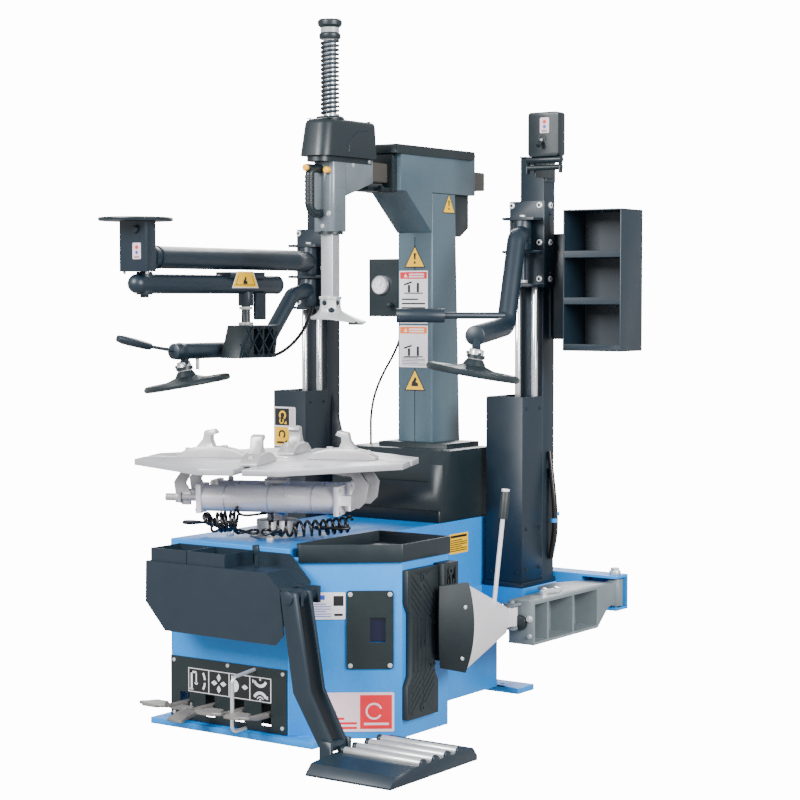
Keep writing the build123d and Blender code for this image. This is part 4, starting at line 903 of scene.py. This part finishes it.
# trapezoid warning on the link
label = Label("link_warning", "left_link", (-320.8, 258, 1194), Y_AXIS)
label.layer([[(-60, -24), (60, -24), (36, 24), (-36, 24)]], "white_label", 0)
label.layer([[(-56, -21.5), (56, -21.5), (34, 21.5), (-34, 21.5)]], "yellow_label", 1)
label.layer([[(-44, -16), (44, -16), (43, -14), (-43, -14)],
             [(-44, -16), (-42, -16), (-27, 14), (-29, 14)],
             [(44, -16), (42, -16), (27, 14), (29, 14)], shift(HAND[0], 0, 2, 60)],
            "black_print", 2)

# ---- control boxes ----
control_sticker("left_sticker", "left_upper_arm", (-326, -194.2, 1268), X_AXIS)
lathe_piece("left_box_knob", "left_upper_arm", "black_plastic", (-328, -194, 1326), -Y_AXIS,
            ((0.01, 0), (10, 0), (10.5, 1.5), (10.5, 8), (8.5, 10), (0.01, 10)), 32)
form = Form()
for x in (-388, -306):
    form.rod((x, -176, 1213.5), (x, -176, 1206), 4)
form.piece("left_box_screws", "left_upper_arm", "zinc_steel")
lathe_piece("left_dish_rim", "left_upper_arm", "black_plastic", (-344, -178, 1349.2), Z_AXIS,
            ((60, 0.6), (96, 0.6), (100.5, 2.2), (101.5, 4.6), (100.5, 7.6), (97, 9.6),
            (60, 9.9), (60, 0.6)), 80)
for y in (-120, -96):
    lathe_piece(f"left_arm_ring_{-y}", "left_upper_arm", "charcoal_paint", (-348, y, 1253),
                Y_AXIS, ((31, 0), (32.6, 0), (32.6, 7), (31, 7)), 56)
lathe_piece("left_link_cap", "left_link", "charcoal_paint", (-348, 434, 1180), Y_AXIS,
            ((0.01, -1), (26, -1), (27.6, 0), (27.6, 3), (25.5, 4.4), (0.01, 4.4)), 48)
lathe_piece("right_toggle_cap", "right_toggle", "black_plastic", (396, 698.6, 1574.6),
            Vector((0.03, -0.7, -0.72)), ((3.6, -18), (6.4, -16), (7, -4), (6.4, 0),
            (0.01, 0.8)), 28)
lathe_piece("right_toggle_ring", "base", "black_plastic", (396, 722.2, 1597), -Y_AXIS,
            ((7.4, 0), (12, 0), (12, 1.6), (7.4, 1.6)), 32)

# ---- carriages: socket bolts and hinge knuckles ----


def ring_bolts(name, body, spots, axis, radius=9.0):
    """Bright washers with black hexagons in their recesses as painted shade."""
    bright, recess_shade = Form(), Form()
    for spot in spots:
        bright.lathe(spot, axis, ((4.2, 0), (radius, 0), (radius, 2.2), (radius - 1.6, 4),
                                  (4.2, 4)), 32)
        # black hexagon at the bottom of each hex recess is painted shade
        recess_shade.lathe(spot, axis, ((0.01, 0), (4.3, 0), (4.3, 1.6), (0.01, 1.6)), 6)
    bright.piece(f"{name}_rings", body, "white_metal", slot="zinc_steel")
    recess_shade.piece(f"{name}_socket_shade", body, "black_plastic")


for tag, mid, face, low in (("left", -442.5, 731, 1105), ("right", 304.5, 789, 1173)):
    body = f"{tag}_carriage"
    rows = (low + 24, low + 130, low + 238)
    ring_bolts(f"{tag}_front", body, [(mid - 51, face, z) for z in rows]
               + [(mid + 43, face, z) for z in rows], -Y_AXIS)
    ring_bolts(f"{tag}_side", body, [(mid + 59, face + 33, z) for z in rows], X_AXIS)
    form = Form()
    pin = -429 if tag == "left" else 310
    for z in (low + 12, low + 184):
        form.lathe((pin, face - 34, z), Z_AXIS, ((10.1, 0), (15, 0), (16, 1.5), (16, 8),
                                                 (10.1, 8)), 32)
    form.rod((pin, face - 34, low + 203), (pin, face - 34, low + 209), 9)
    form.piece(f"{tag}_hinge_rings", body, "zinc_steel")

# ---- towers ----
label = Label("tower_pictogram", "base", (-484, 644.8, 742), X_AXIS)
label.layer([plate_outline(86, 124, 5)], "white_label", 0)
label.layer([rect(-38, 18, 4, 57)], "black_print", 1)
label.layer([rect(-38, 18, -57, -1)], "yellow_label", 1)
label.layer([rect(22, 38, -57, 57)], "pink_label", 1)
label.layer([ring_arc(-8, 36, 8, 14, -60, 220), ring_arc(-12, 18, 5, 9, 120, 400),
             arrow(2, 14, 0.8, -0.6, 9)], "yellow_label", 2)
label.layer([ring_arc(-10, -24, 8, 14, -60, 220), arrow(4, -44, 0.8, -0.6, 9),
             rect(-30, -2, -52, -46)], "black_print", 2)
form = Form()
for x, y, axis in ((344, 727, X_AXIS), (344, 800, X_AXIS), (-403, 672, X_AXIS),
                   (-403, 740, X_AXIS)):
    for z in (352, 470, 820):
        form.bolt((x, y, z), axis, 3.6, 3.2)
for x in (-482, -424, 238, 326):
    form.bolt((x, 645 if x < 0 else 703, 344), -Y_AXIS, 3.2, 3)
for x, y in ((-520, 655), (-410, 655), (227, 713), (337, 713), (-410, 815), (337, 872)):
    form.hexagon((x, y, 315), (x, y, 321), 6)
form.piece("tower_screws", "base", "charcoal_paint", slot="zinc_steel")
form = Form()
for x, y in ((-442.5, 787), (304.5, 845)):
    form.block((x - 40.5, x + 40.5), (y - 33, y + 33), (1551, 1555))
form.piece("tower_caps", "base", "black_plastic", bevel=1.0)
for k, points in enumerate((((350, 846, 690), (362, 842, 610), (374, 838, 520), (372, 838, 440),
                             (356, 846, 385)),
                            ((350, 856, 640), (358, 862, 560), (364, 862, 470), (360, 858, 420),
                             (352, 852, 372)))):
    tube(f"tower_hose_{k + 1}", points, 7.5, "base", "air_hose")
form = Form()
form.lathe((373, 838, 482), Z_AXIS, ((7.4, 0), (10.5, 0), (10.5, 12), (7.4, 12)), 24)
form.lathe((364, 862, 500), Z_AXIS, ((7.4, 0), (10.5, 0), (10.5, 10), (7.4, 10)), 24)
form.piece("tower_hose_clips", "base", "blue_paint", slot="zinc_steel")

# ---- wall pads: grooves shown as raised ribs, washers ----
form = Form()
PAD_A, PAD_B = 452.0, 468.0


def pad_bar(face, a, b, half, proud=1.8):
    """A raised rib between two (y, z) points on a pad's face."""
    run = Vector((0, b[0] - a[0], b[1] - a[1]))
    side = run.cross(X_AXIS).normalized() * half
    p, q = Vector((0, *a)), Vector((0, *b))
    form.prism((face - 0.6, 0, 0), Y_AXIS, Z_AXIS,
               [(c.y, c.z) for c in (p - side, q - side, q + side, p + side)], proud + 0.6)


for k in range(5):
    z = 356 + 19 * k
    pad_bar(PAD_A, (-14, z), (30, z - 44), 3.4)
    pad_bar(PAD_A, (38, z - 10), (92, z - 64), 3.4)
    low_z = 144 - 19 * k
    pad_bar(PAD_A, (-14, low_z), (30, low_z + 44), 3.4)
    pad_bar(PAD_A, (38, low_z + 10), (92, low_z + 64), 3.4)
for y in (-2, 16, 34, 52, 70):
    pad_bar(PAD_A, (y, 176), (y, 322 if y != 34 else 262), 3.6)
pad_bar(PAD_A, (-26, 70), (-26, 150), 2.2)
pad_bar(PAD_A, (-26, 350), (-26, 430), 2.2)
for y in (118, 130, 154, 166):
    pad_bar(PAD_B, (y, 204), (y, 438 if y in (118, 166) else 404), 3.0)
pad_bar(PAD_B, (142, 204), (142, 396), 3.0)
form.piece("pad_ribs", "base", "pad_rubber", bevel=0.7)
form = Form()
for y, z, face in ((38, 80, PAD_A), (38, 420, PAD_A), (38, 250, PAD_A), (142, 425, PAD_B)):
    form.lathe((face, y, z), X_AXIS, ((5, -0.4), (12, -0.4), (12, 1.4), (5, 1.4)), 32)
form.piece("pad_washers", "base", "black_plastic", slot="pad_rubber")

# ---- breaker arm and shovel ----
lathe_piece("breaker_bush", "breaker_arm", "black_plastic", (498, 446.5, 250), -Y_AXIS,
            ((0.01, 0), (20, 0), (21, 1.5), (21, 14), (18, 16), (0.01, 16)), 40,
            slot="arm_paint")
form = Form()
form.bolt((526, 447, 262), -Y_AXIS, 6.5, 9).bolt((526, 447, 214), -Y_AXIS, 5, 7)
form.prism((0, 0, 310.2), X_AXIS, Y_AXIS, [(486, 514), (530, 512), (535, 604), (500, 610)], 3)
form.rod((499, 552, 321), (519, 626, 321), 6.5)
form.hexagon((501, 561, 321), (503.5, 570, 321), 11.5)
form.hexagon((513, 604, 321), (515.5, 613, 321), 11.5)
form.hexagon((516, 540, 313), (516, 540, 322), 9)
form.piece("breaker_tensioner", "breaker_arm", "zinc_steel")
form = Form()
form.hexagon((528, 925, 341.8), (528, 925, 350), 13)
form.piece("breaker_nut", "base", "zinc_steel")

SHOVEL_BEND, SHOVEL_LEAD = Vector((532, 116, 284)), Vector((472, 88, 284))


def blade_points(origin, side, height, bulge, lean, offset, count=13):
    """Points down one curved upright line of the blade, offset to its outside."""
    side = Vector((side[0], side[1], 0)).normalized()
    half = height / 2
    out = []
    for k in range(count):
        t = 1 - 2 * k / (count - 1)
        across = bulge * (1 - t * t) + lean * t + offset
        out.append(Vector(origin) + side * across + Z_AXIS * (half * t))
    return out


def blade_skin(name, rows, material, slot):
    """A thin sheet through rows of points, closed all round."""
    skin = Form()
    outer = [skin.points(row) for row, _ in rows]
    inner = [skin.points(row) for _, row in rows]
    count = len(outer[0])
    for k in range(len(rows) - 1):
        for i in range(count - 1):
            skin.bm.faces.new((outer[k][i], outer[k][i + 1], outer[k + 1][i + 1],
                               outer[k + 1][i]))
            skin.bm.faces.new((inner[k][i + 1], inner[k][i], inner[k + 1][i],
                               inner[k + 1][i + 1]))
        for i in (0, count - 1):
            quad = (outer[k][i], outer[k + 1][i], inner[k + 1][i], inner[k][i])
            skin.bm.faces.new(quad if i == 0 else quad[::-1])
    for k in (0, len(rows) - 1):
        for i in range(count - 1):
            quad = (outer[k][i + 1], outer[k][i], inner[k][i], inner[k][i + 1])
            skin.bm.faces.new(quad if k == 0 else quad[::-1])
    skin.piece(name, "shovel", material, slot=slot)


def blade_row(t, outside, inside):
    """One line of the edge cover, t from the bend (0) to the leading edge (1)."""
    origin = (SHOVEL_BEND + Vector((0, 1, 0))).lerp(SHOVEL_LEAD, t)
    side = (0.895 + (0.5 - 0.895) * t, -0.446 + (-0.866 + 0.446) * t)
    height, bulge = 237 + (218 - 237) * t, 34 + (26 - 34) * t
    return (blade_points(origin, side, height, bulge, 8, outside),
            blade_points(origin, side, height, bulge, 8, inside))


blade_skin("shovel_edge", [blade_row(t, 2.2, -14.0) for t in (-0.04, 0.2, 0.4, 0.6, 0.8, 1.03)],
           "pad_rubber", "pad_rubber")
form = Form()
for t, level in ((0.2, 0.55), (0.22, -0.6)):
    row = blade_row(t, 2.2, -14)[0]
    spot = row[int(round((1 - level) / 2 * (len(row) - 1)))]
    form.bolt(spot, (0.83, -0.55, 0), 3.6, 3.5)
form.piece("shovel_screws", "shovel", "zinc_steel")
form = Form()
FOOT = Vector((500, 300, 296))
form.lathe(FOOT + Vector((2, 45, 250)), Vector((1, 13, 76)), ((6, 0), (11.5, 0), (12.2, 3),
           (12.6, 40), (12.2, 72), (9, 79.6), (0.01, 80.4)), 36)
form.piece("shovel_grip", "shovel", "grip_rubber", slot="pad_rubber")

# ---- pedals: swept wings on the treads ----
def wing(left, right):
    return [(-left, -340), (-left - 3, -334), (-30, -318), (-20, -296), (20, -296),
            (30, -318), (right + 3, -334), (right, -340), (14, -351), (-14, -351)]


ONE_WING = [(-29, -340), (-27, -326), (-20, -296), (20, -296), (30, -318), (47, -334),
            (44, -340), (14, -351), (-14, -351)]
for number, x, outline in ((1, -150, wing(44, 40)), (3, 38, wing(40, 42)), (4, 128, ONE_WING)):
    form = Form()
    form.prism((x, 0, 77), X_AXIS, Y_AXIS, outline, 7.6)
    form.prism((x, 0, 70), X_AXIS, Y_AXIS, [(-9, -330), (9, -330), (9, -280), (-9, -280)], 8)
    form.piece(f"pedal_{number}_wing", f"pedal_{number}", "pedal_steel", slot="plate_steel",
               bevel=2.4, segs=3)
form = Form()
form.prism((-62, 0, 62), X_AXIS, Y_AXIS, [(-30, -286), (34, -286), (30, -274), (-26, -272)], 8)
form.rod((-66, -280, 68), (-66, -280, 84), 3)
for k in range(6):
    form.prism((-62, -346 + 9 * k, 79), X_AXIS, Y_AXIS, rect(-21, 21, 0, 3), 1.4)
form.piece("pedal_2_cross", "pedal_2", "pedal_steel", slot="plate_steel", bevel=1.0)

# ---- beam cap skirts ----
form = Form()
for x0, x1 in ((-67.5, -62.2), (62.2, 67.5)):
    form.prism((x0, 0, 0), Y_AXIS, Z_AXIS, [(470, 1581), (470, 1554), (700, 1554), (870, 1556),
                                            (880, 1566), (874, 1581)], x1 - x0)
form.piece("beam_skirts", "column", "black_plastic", bevel=0.8)

# ---- world and lights ----
SKY_STRENGTH, BACKDROP_STRENGTH = 0.80, 14.0      # what lights the object, what the camera sees
world = bpy.data.worlds.new("world")
bpy.context.scene.world = world
world.use_nodes = True
sky = world.node_tree
soft, bright = sky.nodes["Background"], sky.nodes.new("ShaderNodeBackground")
put(soft, "Color", (1.0, 1.0, 1.0, 1))
put(soft, "Strength", SKY_STRENGTH)
put(bright, "Color", (1.0, 1.0, 1.0, 1))
put(bright, "Strength", BACKDROP_STRENGTH)
path, both = sky.nodes.new("ShaderNodeLightPath"), sky.nodes.new("ShaderNodeMixShader")
sky.links.new(path.outputs["Is Camera Ray"], both.inputs["Fac"])
sky.links.new(soft.outputs["Background"], both.inputs[1])
sky.links.new(bright.outputs["Background"], both.inputs[2])
sky.links.new(both.outputs["Shader"], sky.nodes["World Output"].inputs["Surface"])


def area_light(name, place, target, size, power, colour=(1, 1, 1)):
    data = bpy.data.lights.new(name, "AREA")
    data.size = size
    data.energy = power
    data.color = colour
    lamp = bpy.data.objects.new(name, data)
    bpy.context.scene.collection.objects.link(lamp)
    lamp.location = Vector(place)
    lamp.rotation_euler = (Vector(target) - Vector(place)).to_track_quat("-Z", "Y").to_euler()


area_light("key", (-0.6, -4.4, 3.4), (0, 0.4, 0.8), 2.2, 560)
area_light("fill", (4.6, -0.6, 2.4), (0, 0.4, 0.9), 2.0, 380)
area_light("back", (-2.0, 4.2, 3.2), (0, 0.4, 1.0), 2.6, 260)

low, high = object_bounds()
